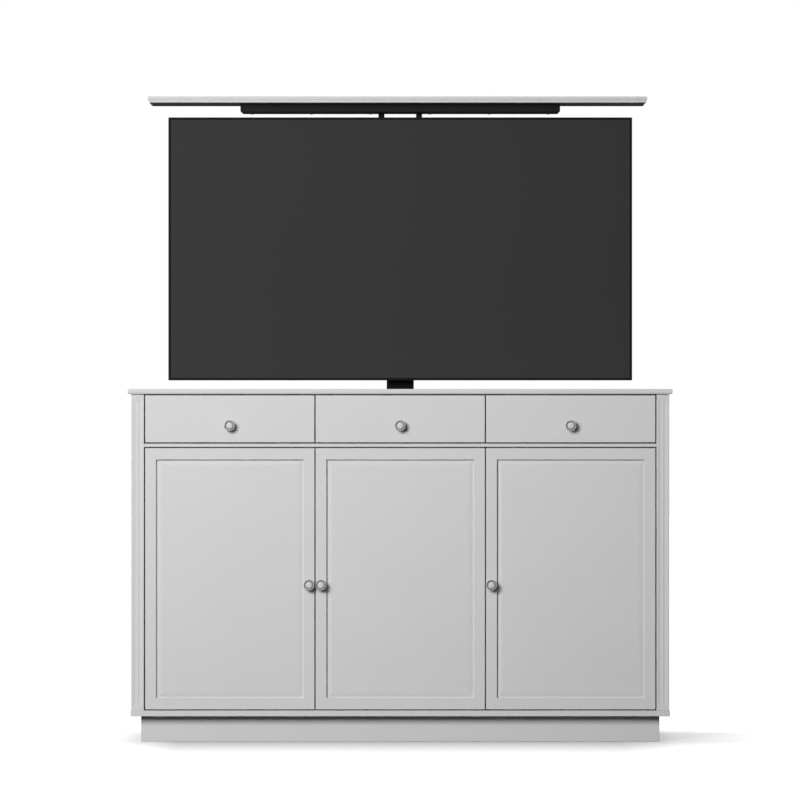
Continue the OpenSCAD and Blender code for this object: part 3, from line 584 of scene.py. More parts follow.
def screen_finish(rgb):
    """Anti-glare face of a switched-off display."""
    material, w, shader, place = start_finish("anti_glare_screen", Specular_IOR_Level=0.05)
    w.join(drifting(w, place, rgb, scale=1.5, amount=0.02), shader["Base Color"])
    etched = stippled(w, place, scale=2600.0)
    set_surface(w, shader, etched, NOISE_SPAN, rough=(0.5, 0.6), depth=0.01 * MM, strength=0.3)
    return material


def felt_as_shade_finish(rgb):
    """Pressed felt, dark as painted shade under the lid: short tangled fibres that catch the light at the
    edges.
    """
    material, w, shader, place = start_finish(
        "black_felt", Specular_IOR_Level=0.1, Sheen_Weight=0.25, Sheen_Roughness=0.6
    )
    tangle_stretch, tangle_share = (1.0, 2.6, 1.0), 0.8
    fibres = w.noise(place, scale=1500.0, detail=4.0, roughness=0.7)
    tangle = w.noise(w.stretched(place, tangle_stretch), scale=320.0, detail=3.0, roughness=0.65)
    nap = w.calc("MULTIPLY_ADD", tangle, tangle_share, fibres)
    w.join(w.mix(w.spread(nap, 0.6, 1.2), toned(rgb, 0.6), toned(rgb, 1.5)), shader["Base Color"])
    set_surface(w, shader, nap, (0.5, 1.3), rough=(0.85, 1.0), depth=0.3 * MM, strength=0.8)
    return material


OWN_FINISHES = {
    "paint": paint_finish, "birch": birch_finish, "nickel": knob_finish, "screen": screen_finish,
    "felt": felt_as_shade_finish,
}

# Coats and mouldings by slot: name, scale and depth of the stipple, and specular level.
COATS = {
    "black_metal": ("column_powder_coat", 1500.0, 0.05 * MM, 0.08),
    "dark_metal": ("bracket_powder_coat", 900.0, 0.07 * MM, 0.3),
    "grey_plastic": ("grey_moulding", 1100.0, 0.06 * MM, 0.4),
    "black_plastic": ("black_moulding", 1300.0, 0.06 * MM, 0.25),
    "bezel": ("anodised_frame", 2400.0, 0.015 * MM, 0.04),
}

# Bare metals by slot: name, stretch of the lines, roughness, and depth of the lines.
METALS = {
    "steel": ("zinc_steel", (900.0, 900.0, 60.0), 0.34, 0.02 * MM),
    "bronze": ("machined_bronze", (60.0, 900.0, 900.0), 0.3, 0.03 * MM),
}

FINISHES = {}


def make_finish(slot):
    rgb = getattr(bpy.context.scene.tv_lift_finish, slot)
    if slot in COATS:
        name, *values = COATS[slot]
        return coat_finish(name, rgb, *values)
    if slot in METALS:
        name, *values = METALS[slot]
        return metal_finish(name, rgb, *values)
    return OWN_FINISHES[slot](rgb)


def finish_for(slot):
    """The material of a slot, which is made the first time that it is asked for."""
    if slot not in FINISHES:
        FINISHES[slot] = make_finish(slot)
    return FINISHES[slot]


# Shapes

MERGE_GAP = 0.001 * MM
NO_WIDTH = 1e-7
FLAT_ANGLE = math.radians(0.3)
SHARP_ANGLE, LATHE_SHARP_ANGLE = math.radians(30), math.radians(38)

# Shares of an edge's length: the least along its axis for a straight edge, the least along each of two axes
# for a mitred one, and how far these two may differ.
STRAIGHT, MITRED, SAME = 0.9999, 0.1, 0.001


def add_object(name, data):
    made = bpy.data.objects.new(name, data)
    bpy.context.scene.collection.objects.link(made)
    return made


def mesh_of(shape, name):
    """The plain mesh of a BMesh, which is freed."""
    mesh = bpy.data.meshes.new(name)
    shape.to_mesh(mesh)
    shape.free()
    return mesh


def placed(name, mesh, body, slot, replaces=()):
    """Links a mesh as a piece that rides on a body and takes its finish from a slot."""
    piece = add_object(name, mesh)
    if not mesh.materials:
        mesh.materials.append(finish_for(slot))
    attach(piece, body)
    if replaces:
        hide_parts(*replaces)
    return piece


def body_of(node):
    return frame["nodes"][node]["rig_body"]


def shaped_by(name, mesh, **values):
    """The plain mesh that a geometry group makes of a mesh, with the group's inputs set by name."""
    group = group_named(name)
    carrier = add_object(name, mesh)
    modifier = carrier.modifiers.new(name, "NODES")
    modifier.node_group = group
    for item in group.interface.items_tree:
        if item.in_out == "INPUT" and item.name.lower() in values:
            modifier[item.identifier] = values[item.name.lower()]
    made = bpy.data.meshes.new_from_object(carrier.evaluated_get(bpy.context.evaluated_depsgraph_get()))
    bpy.data.objects.remove(carrier)
    return made


def point_mesh(name, places):
    mesh = bpy.data.meshes.new(name)
    mesh.from_pydata([tuple(place) for place in places], [], [])
    return mesh


def cut_rows(shape, group, places, **values):
    """A BMesh with holes or slots cut at the places."""
    mesh = mesh_of(shape, group)
    points = add_object("places", point_mesh("places", places))
    made = shaped_by(group, mesh, places=points, **values)
    bpy.data.objects.remove(points)
    opened = bmesh.new()
    opened.from_mesh(made)
    for face in opened.faces:
        face.material_index = 0
    return opened


def is_axial(edge, least):
    """True for an edge that runs along an axis and isn't shorter than least."""
    run = edge.verts[1].co - edge.verts[0].co
    return run.length >= least and max(abs(part) for part in run) > STRAIGHT * run.length


def is_mitre(edge):
    """True for an edge at 45 degrees to two axes, where two mouldings meet at a corner."""
    run = edge.verts[1].co - edge.verts[0].co
    shares = [abs(part) / run.length for part in run]
    pairs = ((0, 1), (0, 2), (1, 2))
    return any(shares[i] > MITRED and abs(shares[i] - shares[j]) < SAME for i, j in pairs)


def merged_copy(node):
    """The mesh of a CAD node as a BMesh, with its doubles merged and its flat faces made whole."""
    shape = bmesh.new()
    shape.from_mesh(frame["nodes"][node].data)
    bmesh.ops.remove_doubles(shape, verts=shape.verts, dist=MERGE_GAP)
    bmesh.ops.dissolve_limit(
        shape, angle_limit=FLAT_ANGLE, verts=shape.verts, edges=shape.edges, delimit=set()
    )
    return shape


def ease_edges(shape, round_by, steps, least):
    """Rounds the straight sharp edges, and shades round faces smooth and flat ones flat."""
    for face in shape.faces:
        turns = [edge.calc_face_angle(0.0) for edge in face.edges]
        face.smooth = any(FLAT_ANGLE < turn < SHARP_ANGLE for turn in turns)
    for edge in shape.edges:
        edge.smooth = edge.calc_face_angle(0.0) < SHARP_ANGLE and not is_mitre(edge)
    sharp = [edge for edge in shape.edges if edge.calc_face_angle(0.0) >= SHARP_ANGLE]
    made = bmesh.ops.bevel(
        shape, geom=[edge for edge in sharp if is_axial(edge, least)], offset=round_by, segments=steps,
        profile=0.5, affect="EDGES", clamp_overlap=True,
    )
    for face in made["faces"]:
        face.smooth = True


def softened(node, round_by, least=8 * MM, steps=2, cuts=()):
    """Puts a copy of a CAD node with eased edges in its place. Cuts are (group's name, places, inputs)."""
    shape = merged_copy(node)
    for group, places, inputs in cuts:
        shape = cut_rows(shape, group, places, **inputs)
    ease_edges(shape, round_by, steps, least)
    return placed(f"{node}_finished", mesh_of(shape, node), body_of(node), SLOT_OF[node], [node])


def eased_block(shape, name, round_by):
    """The mesh of a BMesh of small blocks, with its edges eased."""
    ease_edges(shape, round_by, steps=2, least=0.5 * MM)
    return mesh_of(shape, name)


def add_block(shape, low, high):
    """Adds a box between two corners to a BMesh."""
    low, high = Vector(low), Vector(high)
    place = Matrix.Translation((low + high) / 2) @ Matrix.Diagonal((*(high - low), 1))
    bmesh.ops.create_cube(shape, size=1, matrix=place)


def islands(node):
    """Corners of the boxes of a node's separate solids, from left to right."""
    shape = merged_copy(node)
    left_over, boxes = set(shape.verts), []
    while left_over:
        queue, island = [left_over.pop()], []
        while queue:
            corner = queue.pop()
            island.append(corner.co)
            for edge in corner.link_edges:
                other = edge.other_vert(corner)
                if other in left_over:
                    left_over.remove(other)
                    queue.append(other)
        corners = [[pick(place[i] for place in island) for i in range(3)] for pick in (min, max)]
        boxes.append([Vector(corner) for corner in corners])
    shape.free()
    return sorted(boxes, key=lambda box: box[0].x)


# Turned forms. The points of an outline are shares of the radius and of the height, from the foot up.

MOTOR_OUTLINE = (
    (0.0, 0.0), (0.93, 0.0), (0.97, 0.012), (0.97, 0.05), (0.92, 0.06), (0.92, 0.08), (1.0, 0.09),
    (1.0, 0.78), (0.95, 0.79), (0.95, 0.81), (1.0, 0.82), (1.0, 0.93), (0.96, 0.95), (0.5, 0.955),
    (0.48, 0.965), (0.33, 0.968), (0.33, 0.995), (0.3, 1.0), (0.0, 1.0),
)

KNOB_OUTLINE = (
    (0.0, 0.0), (0.7, 0.0), (0.72, 0.05), (0.68, 0.1), (0.46, 0.17), (0.37, 0.3), (0.41, 0.44),
    (0.58, 0.56), (0.8, 0.64), (0.94, 0.72), (1.0, 0.8), (0.985, 0.88), (0.95, 0.93), (0.9, 0.95),
    (0.865, 0.93), (0.84, 0.85), (0.8, 0.77), (0.74, 0.73), (0.68, 0.75), (0.64, 0.84), (0.61, 0.92),
    (0.55, 0.955), (0.4, 0.98), (0.2, 0.995), (0.0, 1.0),
)


def between(p, q, r, s, t):
    """The value at t on the smooth way from q to r, where p comes before them and s after them."""
    bend = (2 * p - 5 * q + 4 * r - s) * t * t
    twist = (3 * q - p - 3 * r + s) * t ** 3
    return 0.5 * (2 * q + (r - p) * t + bend + twist)


def smooth_points(points, steps):
    """Points along a curve that passes through the given ones."""
    ends = [points[0], *points, points[-1]]
    made = []
    for four in zip(ends, ends[1:], ends[2:], ends[3:]):
        made += [tuple(between(*row, i / steps) for row in zip(*four)) for i in range(steps)]
    return made + [points[-1]]


def turned(outline, foot, steps):
    """A BMesh of an outline of (radius, height) that is turned round a line from its foot to the front."""
    place = Matrix.Translation(foot) @ Z_AXIS.rotation_difference(-Y_AXIS).to_matrix().to_4x4()
    shape, rings = bmesh.new(), []
    for radius, height in outline:
        angles = [math.tau * i / steps for i in range(steps)]
        flat = [(radius * math.cos(a), radius * math.sin(a)) for a in angles]
        if radius < NO_WIDTH:
            flat = [(0, 0)]
        rings.append([shape.verts.new(place @ Vector((x, y, height))) for x, y in flat])
    for low, high in zip(rings, rings[1:]):
        for i in range(steps):
            j = i + 1
            corners = [low[i % len(low)], low[j % len(low)], high[j % len(high)], high[i % len(high)]]
            shape.faces.new(list(dict.fromkeys(corners))).smooth = True
    return shape


def face_middle(low, high, y):
    """The middle of a box as seen from the front, at a given depth."""
    return Vector(((low.x + high.x) / 2, y, (low.z + high.z) / 2))


def turned_piece(name, node, outline, slot, steps, smoothing=1):
    """Replaces a node with an outline that is turned from the back of the node's box to its front."""
    low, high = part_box(node)
    radius, height = (high.x - low.x) / 2, high.y - low.y
    points = smooth_points([(share * radius, part * height) for share, part in outline], smoothing)
    shape = turned([(max(0.0, r), h) for r, h in points], face_middle(low, high, high.y), steps)
    bmesh.ops.recalc_face_normals(shape, faces=shape.faces)
    mesh = mesh_of(shape, node)
    mesh.set_sharp_from_angle(angle=LATHE_SHARP_ANGLE)
    placed(name, mesh, body_of(node), slot, [node])


# Places of screws, bolts, holes and slots

# A countersunk hole's radius, as a share of its screw's.
COUNTERSINK = 1.15


def along(start, end, count):
    """Evenly spaced points from start to end."""
    start, end = Vector(start), Vector(end)
    return [start.lerp(end, i / max(1, count - 1)) for i in range(count)]


def round_sheet(low, high, y, edge, across, down):
    """Points round a sheet, inside its edge: so many across its top and foot, and down its sides."""
    left, right, foot, top = low.x + edge, high.x - edge, low.z + edge, high.z - edge
    return [
        *along((left, y, top), (right, y, top), across),
        *along((left, y, foot), (right, y, foot), across),
        *along((left, y, foot), (left, y, top), down)[1:-1],
        *along((right, y, foot), (right, y, top), down)[1:-1],
    ]


def sunk_holes(places, radius, axis):
    """The cut for countersunk screws, as softened() takes it."""
    return "round_holes", places, {"radius": COUNTERSINK * radius, "depth": radius, "axis": axis}


def slots(places, size):
    """The cut for upright slots, as softened() takes it."""
    return "vent_slots", places, {"size": Vector(size), "axis": Z_AXIS}


def fixings(name, group, places, axis, radius, body, slot="steel"):
    """Screws or bolts at the places, as one piece."""
    values = {"axis": axis, "radius": radius, "turn": math.tau, "material": finish_for(slot)}
    placed(name, shaped_by(group, point_mesh(name, places), **values), body, slot)


# Operators

BOARDS = (
    "side_panel_left", "side_panel_right", "pilaster_left", "pilaster_right", "bottom_board",
    "plinth_front", "plinth_rear", "plinth_left", "plinth_right", "divider_panel",
    "partition_left", "partition_right", "drawer_shelf", "bay_shelves",
)


class TVLIFT_OT_boards(Operator):
    """Finish the painted boards of the cabinet"""

    bl_idname = "tv_lift.boards"
    bl_label = "Cabinet boards"

    def execute(self, context):
        finish = context.scene.tv_lift_finish
        for node in BOARDS:
            softened(node, finish.board_round)
        softened("top_slab", finish.board_round / 2)
        self.back_panel(finish.board_round)
        return {"FINISHED"}

    def back_panel(self, board_round):
        """The back panel, with countersunk screws round its edge."""
        low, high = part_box("back_panel")
        edge, radius = 9 * MM, 3.4 * MM
        places = round_sheet(low, high, high.y - radius / 2, edge, across=8, down=6)
        softened("back_panel", board_round, cuts=[sunk_holes(places, radius, Y_AXIS)])
        fixings("back_panel_screws", "cross_screws", places, Y_AXIS, radius, "cabinet")


class TVLIFT_OT_fronts(Operator):
    """Finish the panelled doors and the drawer fronts"""

    bl_idname = "tv_lift.fronts"
    bl_label = "Doors and drawer fronts"

    def execute(self, context):
        finish = context.scene.tv_lift_finish
        for side in SIDES:
            softened(f"door_{side}", 0.4 * finish.board_round)
            softened(f"drawer_front_{side}", finish.board_round)
        return {"FINISHED"}


class TVLIFT_OT_drawers(Operator):
    """Finish the birch drawer boxes and their runners"""

    bl_idname = "tv_lift.drawers"
    bl_label = "Drawer boxes"

    def execute(self, context):
        finish = context.scene.tv_lift_finish
        for side in SIDES:
            self.box(side, finish.board_round)
        self.runners(finish.board_round)
        return {"FINISHED"}

    def box(self, side, board_round):
        """One drawer box, with screws from inside that hold its front."""
        node = f"drawer_box_{side}"
        softened(node, board_round)
        board, share, radius = 12 * MM, 0.3, 4 * MM
        low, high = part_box(node)
        reach = Vector(((high.x - low.x) * share, 0, 0))
        middle = face_middle(low, high, low.y + board)
        places = [middle - reach, middle + reach]
        fixings(f"{node}_screws", "cross_screws", places, Y_AXIS, radius, body_of(node))

    def runners(self, board_round):
        """The runner strips, with three countersunk screws in each."""
        low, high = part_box("runner_strips")
        radius, gap, inset, height = 3 * MM, 6.7 * MM, 0.02, (low.z + high.z) / 2
        cuts, fixed = [], []
        for side in SIDES:
            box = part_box(f"drawer_box_{side}")
            for hand, end, way in (("left", box[0].x, 1), ("right", box[1].x, -1)):
                inward = Vector((way, 0, 0))
                sunk = end + way * gap - way * radius / 2
                places = along((sunk, low.y + inset, height), (sunk, high.y - inset, height), count=3)
                cuts.append(sunk_holes(places, radius, inward))
                fixed.append((f"runner_screws_{side}_{hand}", places, inward))
        softened("runner_strips", board_round, cuts=cuts)
        for name, places, inward in fixed:
            fixings(name, "cross_screws", places, inward, radius, "cabinet")


class TVLIFT_OT_knobs(Operator):
    """Turn the six knobs"""

    bl_idname = "tv_lift.knobs"
    bl_label = "Knobs"

    def execute(self, context):
        steps = context.scene.tv_lift_knob.steps
        for node in [f"{kind}_knob_{side}" for side in SIDES for kind in ("door", "drawer")]:
            turned_piece(f"{node}_turned", node, KNOB_OUTLINE, "nickel", steps, smoothing=4)
        return {"FINISHED"}


class TVLIFT_OT_fittings(Operator):
    """Finish the pins, catches and the cable grommet"""

    bl_idname = "tv_lift.fittings"
    bl_label = "Fittings"

    def execute(self, context):
        finish = context.scene.tv_lift_finish
        softened("door_catches", finish.plastic_round, least=4 * MM)
        for node in ("shelf_pins", "hinge_pins", "cable_grommet"):
            softened(node, finish.metal_round)
        for side, part in zip(SIDES, islands("door_catches")):
            self.poles(side, *part)
            self.strike_plate(side, *part)
        return {"FINISHED"}

    def poles(self, side, low, high):
        """The two poles of a magnetic catch."""
        middle = (low.x + high.x) / 2
        apart, half, proud, inset = 7 * MM, 1.2 * MM, 0.8 * MM, 2 * MM
        shape = bmesh.new()
        for x in (middle - apart, middle + apart):
            add_block(shape, (x - half, low.y - proud, low.z + inset), (x + half, low.y, high.z - inset))
        placed(f"catch_poles_{side}", eased_block(shape, "catch_poles", 0.2 * MM), "cabinet", "steel")

    def strike_plate(self, side, low, high):
        """The plate on the back of a door that its catch holds."""
        middle, height = (low.x + high.x) / 2, (low.z + high.z) / 2
        reach, rise, thick = 14 * MM, 5 * MM, 1.4 * MM
        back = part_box(f"door_{side}")[1].y
        shape = bmesh.new()
        add_block(shape, (middle - reach, back, height - rise), (middle + reach, back + thick, height + rise))
        placed(f"strike_plate_{side}", eased_block(shape, "strike_plate", 0.4 * MM), f"door_{side}", "steel")


class TVLIFT_OT_columns(Operator):
    """Finish the three columns and their glide pads"""

    bl_idname = "tv_lift.columns"
    bl_label = "Columns"

    def execute(self, context):
        finish = context.scene.tv_lift_finish
        for node in ("outer_column", "middle_column", "inner_column"):
            softened(node, finish.column_round, least=15 * MM, steps=3)
        for node in ("outer_glides", "middle_glides"):
            softened(node, finish.plastic_round / 2, least=1.5 * MM)
        return {"FINISHED"}


# The lower spindle's radius, and how much of it stays plain above the gearbox and below its top.
LOWER_SPINDLE_RADIUS = 8 * MM
PLAIN_FOOT, PLAIN_HEAD = 7 * MM, 27 * MM
THREAD_LEAD, THREAD_STARTS, THREAD_DEPTH = 20 * MM, 4, 1.1 * MM


class TVLIFT_OT_drive(Operator):
    """Finish the base, the motor, the gearbox, the spindles and their nuts"""

    bl_idname = "tv_lift.drive"
    bl_label = "Drive"

    def execute(self, context):
        finish = context.scene.tv_lift_finish
        for node in ("gearbox", "control_box"):
            softened(node, finish.plastic_round)
        for node in ("lift_base", "base_bolts", "middle_drive_nut", "inner_drive_nut"):
            softened(node, finish.metal_round)
        turned_piece("lift_motor_can", "lift_motor", MOTOR_OUTLINE, "steel", steps=64)
        self.control_lid()
        foot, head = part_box("gearbox")[1].z + PLAIN_FOOT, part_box("lower_spindle")[1].z - PLAIN_HEAD
        self.spindle("lower_spindle", LOWER_SPINDLE_RADIUS, foot, head)
        low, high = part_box("upper_spindle")
        self.spindle("upper_spindle", (high.x - low.x) / 2, low.z, high.z)
        return {"FINISHED"}

    def control_lid(self):
        """Four screws in the lid of the control box."""
        low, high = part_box("control_box")
        inset, radius = Vector((8 * MM, 8 * MM, 0)), 3 * MM
        start, end = low + inset, high - inset
        places = [(x, y, high.z) for x in (start.x, end.x) for y in (start.y, end.y)]
        fixings("control_box_screws", "cross_screws", places, Z_AXIS, radius, "cabinet")

    def spindle(self, node, radius, foot, head):
        """A spindle whose thread fills the room between a slimmer core and the model's own radius."""
        shape = merged_copy(node)
        low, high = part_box(node)
        middle = Vector(((low.x + high.x) / 2, (low.y + high.y) / 2, 0))
        on_thread = 0.3 * MM
        for corner in shape.verts:
            out = corner.co.xy - middle.xy
            if foot - MM < corner.co.z < head + MM and abs(out.length - radius) < on_thread:
                corner.co.xy = middle.xy + out * ((radius - THREAD_DEPTH) / out.length)
        placed(f"{node}_core", mesh_of(shape, node), body_of(node), "steel", [node])
        start = point_mesh(node, [(middle.x, middle.y, foot)])
        values = {
            "radius": radius - 0.5 * THREAD_DEPTH, "depth": 0.75 * THREAD_DEPTH, "length": head - foot,
            "lead": THREAD_LEAD, "starts": THREAD_STARTS, "material": finish_for("steel"),
        }
        placed(f"{node}_thread", shaped_by("thread_ridges", start, **values), body_of(node), "steel")


class TVLIFT_OT_hanger(Operator):
    """Finish the bracket, the rails and the posts that carry the television and the lid"""

    bl_idname = "tv_lift.hanger"
    bl_label = "Hanger"

    def execute(self, context):
        finish = context.scene.tv_lift_finish
        for node in ("hanger_bracket", "rail_screws", "lid_posts"):
            softened(node, finish.metal_round)
        self.rails(finish.metal_round)
        self.column_head()
        return {"FINISHED"}

    def rails(self, metal_round):
        """The slotted rails, with a bolt where each cross bar meets them."""
        low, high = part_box("tv_rails")
        half_rail, bar, bar_height, radius = 15 * MM, 5 * MM, 0.1, 6 * MM
        slot_heights, slot = (0.035, 0.175), (7 * MM, 12 * MM, 24 * MM)
        middle, out = (low.z + high.z) / 2, (high.x - low.x) / 2 - half_rail
        cuts = [
            slots([(x, low.y, middle + way * height) for way in (-1, 1) for height in slot_heights], slot)
            for x in (-out, out)
        ]
        softened("tv_rails", metal_round, cuts=cuts)
        places = [(x, high.y + bar, middle + z) for x in (-out, out) for z in (-bar_height, bar_height)]
        fixings("cross_bar_bolts", "hexagon_bolts", places, Y_AXIS, radius, "carriage")

    def column_head(self):
        """The two bolts that hold the bracket on the inner column."""
        low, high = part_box("inner_column")
        apart, radius, top = 0.018, 5 * MM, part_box("hanger_bracket")[1].z
        places = [(x, (low.y + high.y) / 2, top) for x in (-apart, apart)]
        fixings("column_head_bolts", "hexagon_bolts", places, Z_AXIS, radius, "carriage")


class TVLIFT_OT_lid(Operator):
    """Finish the lid, its felt liner and its carrier"""

    bl_idname = "tv_lift.lid"
    bl_label = "Lid"

    def execute(self, context):
        finish = context.scene.tv_lift_finish
        softened("lid_panel", finish.board_round / 3)
        # The liner's dark felt is painted shade under the lid.
        liner = softened("lid_liner", finish.metal_round)
        softened("lid_carrier", finish.metal_round)
        self.carrier_screws()
        return {"FINISHED"}

    def carrier_screws(self):
        """Two rows of screws, up through the carrier into the lid."""
        low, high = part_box("lid_carrier")
        middle, inset, radius = (low.y + high.y) / 2, 0.03, 3.2 * MM
        places = []
        for y in (middle - inset, middle + inset):
            places += along((low.x + inset, y, low.z), (high.x - inset, y, low.z), count=6)
        fixings("carrier_screws", "cross_screws", places, -Z_AXIS, radius, "carriage", "dark_metal")


# The back cover's vents lie in rows below the top of the rails and in banks from side to side.
VENT_SIZE, VENT_PITCH = (4 * MM, 8 * MM, 32 * MM), 0.01
VENT_ROWS = (0.045, 0.09)
VENT_BANKS = ((-0.41, -0.2), (-0.12, 0.12), (0.2, 0.41))

# Its sockets lie in one row above the foot of the rails.
SOCKET_SIZE = (16 * MM, 8 * MM, 7 * MM)
SOCKET_ENDS, SOCKET_RISE = (0.25, 0.4), 0.02


class TVLIFT_OT_television(Operator):
    """Finish the screen, its frame and the back cover"""

    bl_idname = "tv_lift.television"
    bl_label = "Television"

    def execute(self, context):
        finish = context.scene.tv_lift_finish
        softened("tv_screen", finish.metal_round / 2)
        softened("tv_bezel", finish.metal_round)
        self.back_cover(finish.plastic_round)
        return {"FINISHED"}

    def back_cover(self, plastic_round):
        """The back cover, with its vents, its sockets and the screws round its rim."""
        low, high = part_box("tv_back_cover")
        rail_low, rail_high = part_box("tv_rails")
        vents = []
        for z in [rail_high.z - drop for drop in VENT_ROWS]:
            for start, end in VENT_BANKS:
                vents += along((start, high.y, z), (end, high.y, z), round((end - start) / VENT_PITCH) + 1)
        start, end = [(x, high.y, rail_low.z + SOCKET_RISE) for x in SOCKET_ENDS]
        cuts = [slots(vents, VENT_SIZE), slots(along(start, end, count=6), SOCKET_SIZE)]
        softened("tv_back_cover", plastic_round, cuts=cuts)
        rim, edge, radius = 2.5 * MM, 0.012, 3 * MM
        places = round_sheet(low, high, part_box("tv_bezel")[1].y + rim, edge, across=7, down=5)
        fixings("back_cover_screws", "cross_screws", places, Y_AXIS, radius, "carriage")


# Stage

FLOOR_SIZE = 60.0
CORNER_FADE = 0.1
WHITE = (1.0, 1.0, 1.0, 1.0)
LIT_GREY = (0.3, 0.3, 0.3, 1.0)
DIM_GREY = (0.05, 0.05, 0.05, 1.0)

# Painted shadow: the floor's glow at the plinth's front, for each metre away from it, and what its front
# corners add.
PAINTED_SHADOW_GLOW = 0.32
PAINTED_SHADOW_FADE_ACROSS, PAINTED_SHADOW_FADE_BEHIND, PAINTED_SHADOW_FADE_AHEAD = 1.1, 2.0, 1.07
PAINTED_SHADOW_RIGHT_END, PAINTED_SHADOW_LEFT_END = 0.25, 0.43

# The soft light of the world, by how far a direction points up and back: from and to, then the level at each.
LIGHT_ABOVE = (-0.1, 0.6, 0.25, 1.0)
LIGHT_BEHIND = (-0.1, 0.8, 0.6, 8.0)

KEY_PLACE, KEY_AIM = Vector((-2.15, -5.5, 2.4)), Vector((-0.1, 0.0, 1.15))
KEY_SIZE = (2.4, 2.2)
KEY_SPREAD = math.radians(130)
VIEW_DEPTH = 200


def sees_backdrop(w):
    """1 for the rays that show the backdrop: the camera's, and those in metal and glass."""
    path = w.add("ShaderNodeLightPath")
    shown = w.calc("MAXIMUM", path.outputs["Is Camera Ray"], path.outputs["Is Glossy Ray"])
    return w.calc("MAXIMUM", shown, path.outputs["Is Transmission Ray"])


def floor_finish():
    """A white floor that keeps the soft shadow round the cabinet and adds a painted one: its glow is dim
    there and turns plain white further out.
    """
    material = bpy.data.materials.new("white_floor")
    material.use_nodes = True
    w = Wiring(material.node_tree)
    material.node_tree.nodes.remove(material.node_tree.nodes["Principled BSDF"])
    place = w.add("ShaderNodeTexCoord").outputs["Object"]
    parts = w.add("ShaderNodeSeparateXYZ", {0: place}).outputs
    low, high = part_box("plinth_front")
    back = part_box("plinth_rear")[1].y
    # Painted shadow: the glow is dimmest at the plinth and grows with distance from it.
    across = w.calc("MAXIMUM", w.calc("SUBTRACT", w.calc("ABSOLUTE", parts["X"]), high.x), 0.0)
    ahead = w.calc("MAXIMUM", w.calc("SUBTRACT", low.y, parts["Y"]), 0.0)
    behind = w.calc("MAXIMUM", w.calc("SUBTRACT", parts["Y"], back), 0.0)
    start, end = high.x - CORNER_FADE, high.x + CORNER_FADE / 2
    right_end = w.spread(parts["X"], start, end, 0.0, PAINTED_SHADOW_RIGHT_END)
    left_end = w.spread(parts["X"], -start, -end, 0.0, PAINTED_SHADOW_LEFT_END)
    level = w.calc("MULTIPLY_ADD", across, PAINTED_SHADOW_FADE_ACROSS, w.calc("ADD", left_end, right_end))
    level = w.calc("MULTIPLY_ADD", behind, PAINTED_SHADOW_FADE_BEHIND, level)
    level = w.calc("ADD", level, w.calc("MULTIPLY_ADD", ahead, PAINTED_SHADOW_FADE_AHEAD, PAINTED_SHADOW_GLOW))
    painted_shadow_glow = w.add("ShaderNodeEmission", {"Color": WHITE, "Strength": w.calc("MINIMUM", level, 1.0)})
    lit = w.add("ShaderNodeBsdfDiffuse", {"Color": LIT_GREY})
    shown = w.add("ShaderNodeAddShader", {0: painted_shadow_glow.outputs[0], 1: lit.outputs[0]})
    dim = w.add("ShaderNodeBsdfDiffuse", {"Color": DIM_GREY})
    choice = w.add("ShaderNodeMixShader", {0: sees_backdrop(w), 1: dim.outputs[0], 2: shown.outputs[0]})
    w.join(choice.outputs[0], material.node_tree.nodes["Material Output"].inputs["Surface"])
    return material


def make_world(level):
    """White for the camera. For the surfaces it is a soft light, stronger from above and from behind."""
    world = bpy.data.worlds.new("studio")
    world.use_nodes = True
    w = Wiring(world.node_tree)
    direction = w.add("ShaderNodeTexCoord").outputs["Generated"]
    parts = w.add("ShaderNodeSeparateXYZ", {0: direction}).outputs
    above, behind = w.spread(parts["Z"], *LIGHT_ABOVE), w.spread(parts["Y"], *LIGHT_BEHIND)
    soft = w.calc("MULTIPLY", w.calc("MULTIPLY", above, behind), level)
    shown = sees_backdrop(w)
    strength = w.calc("ADD", shown, w.calc("MULTIPLY", w.calc("SUBTRACT", 1.0, shown), soft))
    background = world.node_tree.nodes["Background"]
    background.inputs["Color"].default_value = WHITE
    w.join(strength, background.inputs["Strength"])
    bpy.context.scene.world = world


def add_key_lamp(power):
    """The one lamp, a wide soft rectangle at the front left."""
    lamp = bpy.data.lights.new("key_lamp", "AREA")
    lamp.shape = "RECTANGLE"
    lamp.size, lamp.size_y = KEY_SIZE
    lamp.energy = power
    lamp.spread = KEY_SPREAD
    holder = add_object("key_lamp", lamp)
    holder.location = KEY_PLACE
    holder.rotation_euler = (KEY_AIM - KEY_PLACE).to_track_quat("-Z", "Y").to_euler()


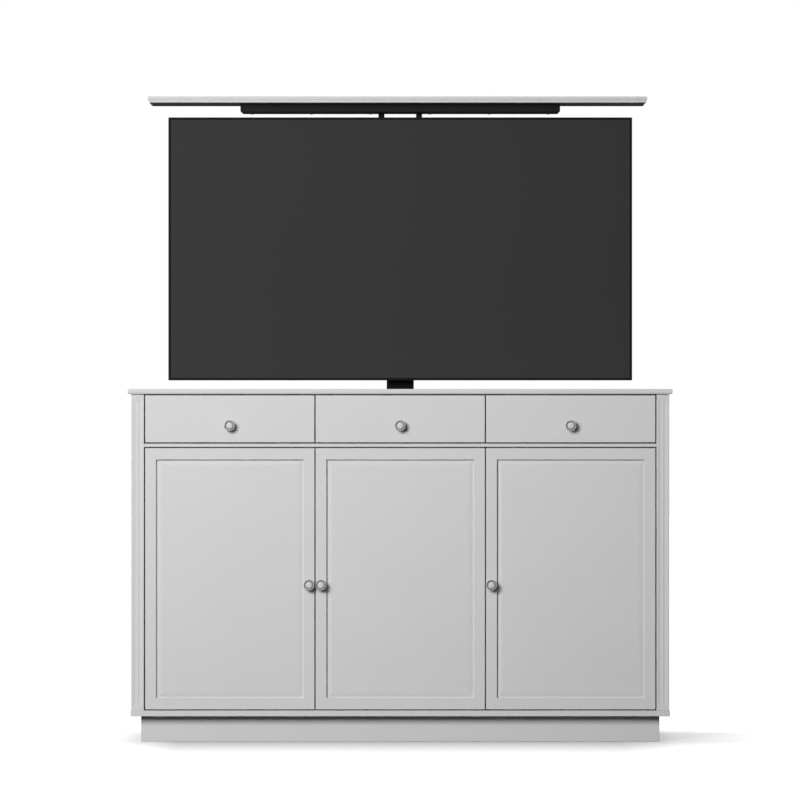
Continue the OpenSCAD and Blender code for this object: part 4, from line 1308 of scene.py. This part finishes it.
class TVLIFT_OT_stage(Operator):
    """Add the white floor, the lamp, the soft world and the camera"""

    bl_idname = "tv_lift.stage"
    bl_label = "Stage"

    def execute(self, context):
        stage = context.scene.tv_lift_stage
        self.add_floor()
        make_world(stage.sky_level)
        add_key_lamp(stage.key_power)
        camera = add_object("camera", bpy.data.cameras.new("camera"))
        camera.data.lens = stage.lens
        camera.data.clip_end = VIEW_DEPTH
        camera.location = (-stage.camera_side, -stage.camera_back, stage.camera_height)
        camera.rotation_euler = (math.radians(90), 0, 0)
        context.scene.camera = camera
        context.scene.view_settings.view_transform = "Standard"
        return {"FINISHED"}

    def add_floor(self):
        shape = bmesh.new()
        bmesh.ops.create_grid(shape, x_segments=1, y_segments=1, size=FLOOR_SIZE / 2)
        mesh = mesh_of(shape, "floor")
        mesh.materials.append(floor_finish())
        add_object("floor", mesh)


STEPS = (
    TVLIFT_OT_boards, TVLIFT_OT_fronts, TVLIFT_OT_drawers, TVLIFT_OT_knobs, TVLIFT_OT_fittings,
    TVLIFT_OT_columns, TVLIFT_OT_drive, TVLIFT_OT_hanger, TVLIFT_OT_lid, TVLIFT_OT_television,
    TVLIFT_OT_stage,
)


class TVLIFT_PT_panel(Panel):
    """Lists the steps that build the cabinet"""

    bl_idname = "TVLIFT_PT_panel"
    bl_label = "Television lift cabinet"
    bl_space_type = "VIEW_3D"
    bl_region_type = "UI"
    bl_category = "TV Lift"

    def draw(self, context):
        for step in STEPS:
            self.layout.operator(step.bl_idname)


SETTINGS = {
    "tv_lift_finish": TVLIFT_PG_finish,
    "tv_lift_stage": TVLIFT_PG_stage,
    "tv_lift_knob": TVLIFT_PG_knob,
}
CLASSES = (*SETTINGS.values(), *STEPS, TVLIFT_PT_panel)


def register():
    for entry in CLASSES:
        bpy.utils.register_class(entry)
    for name, group in SETTINGS.items():
        setattr(bpy.types.Scene, name, PointerProperty(type=group))


def unregister():
    for name in SETTINGS:
        delattr(bpy.types.Scene, name)
    for entry in reversed(CLASSES):
        bpy.utils.unregister_class(entry)


def main():
    register()
    for step in STEPS:
        group, name = step.bl_idname.split(".")
        getattr(getattr(bpy.ops, group), name)()


if __name__ == "__main__":
    main()
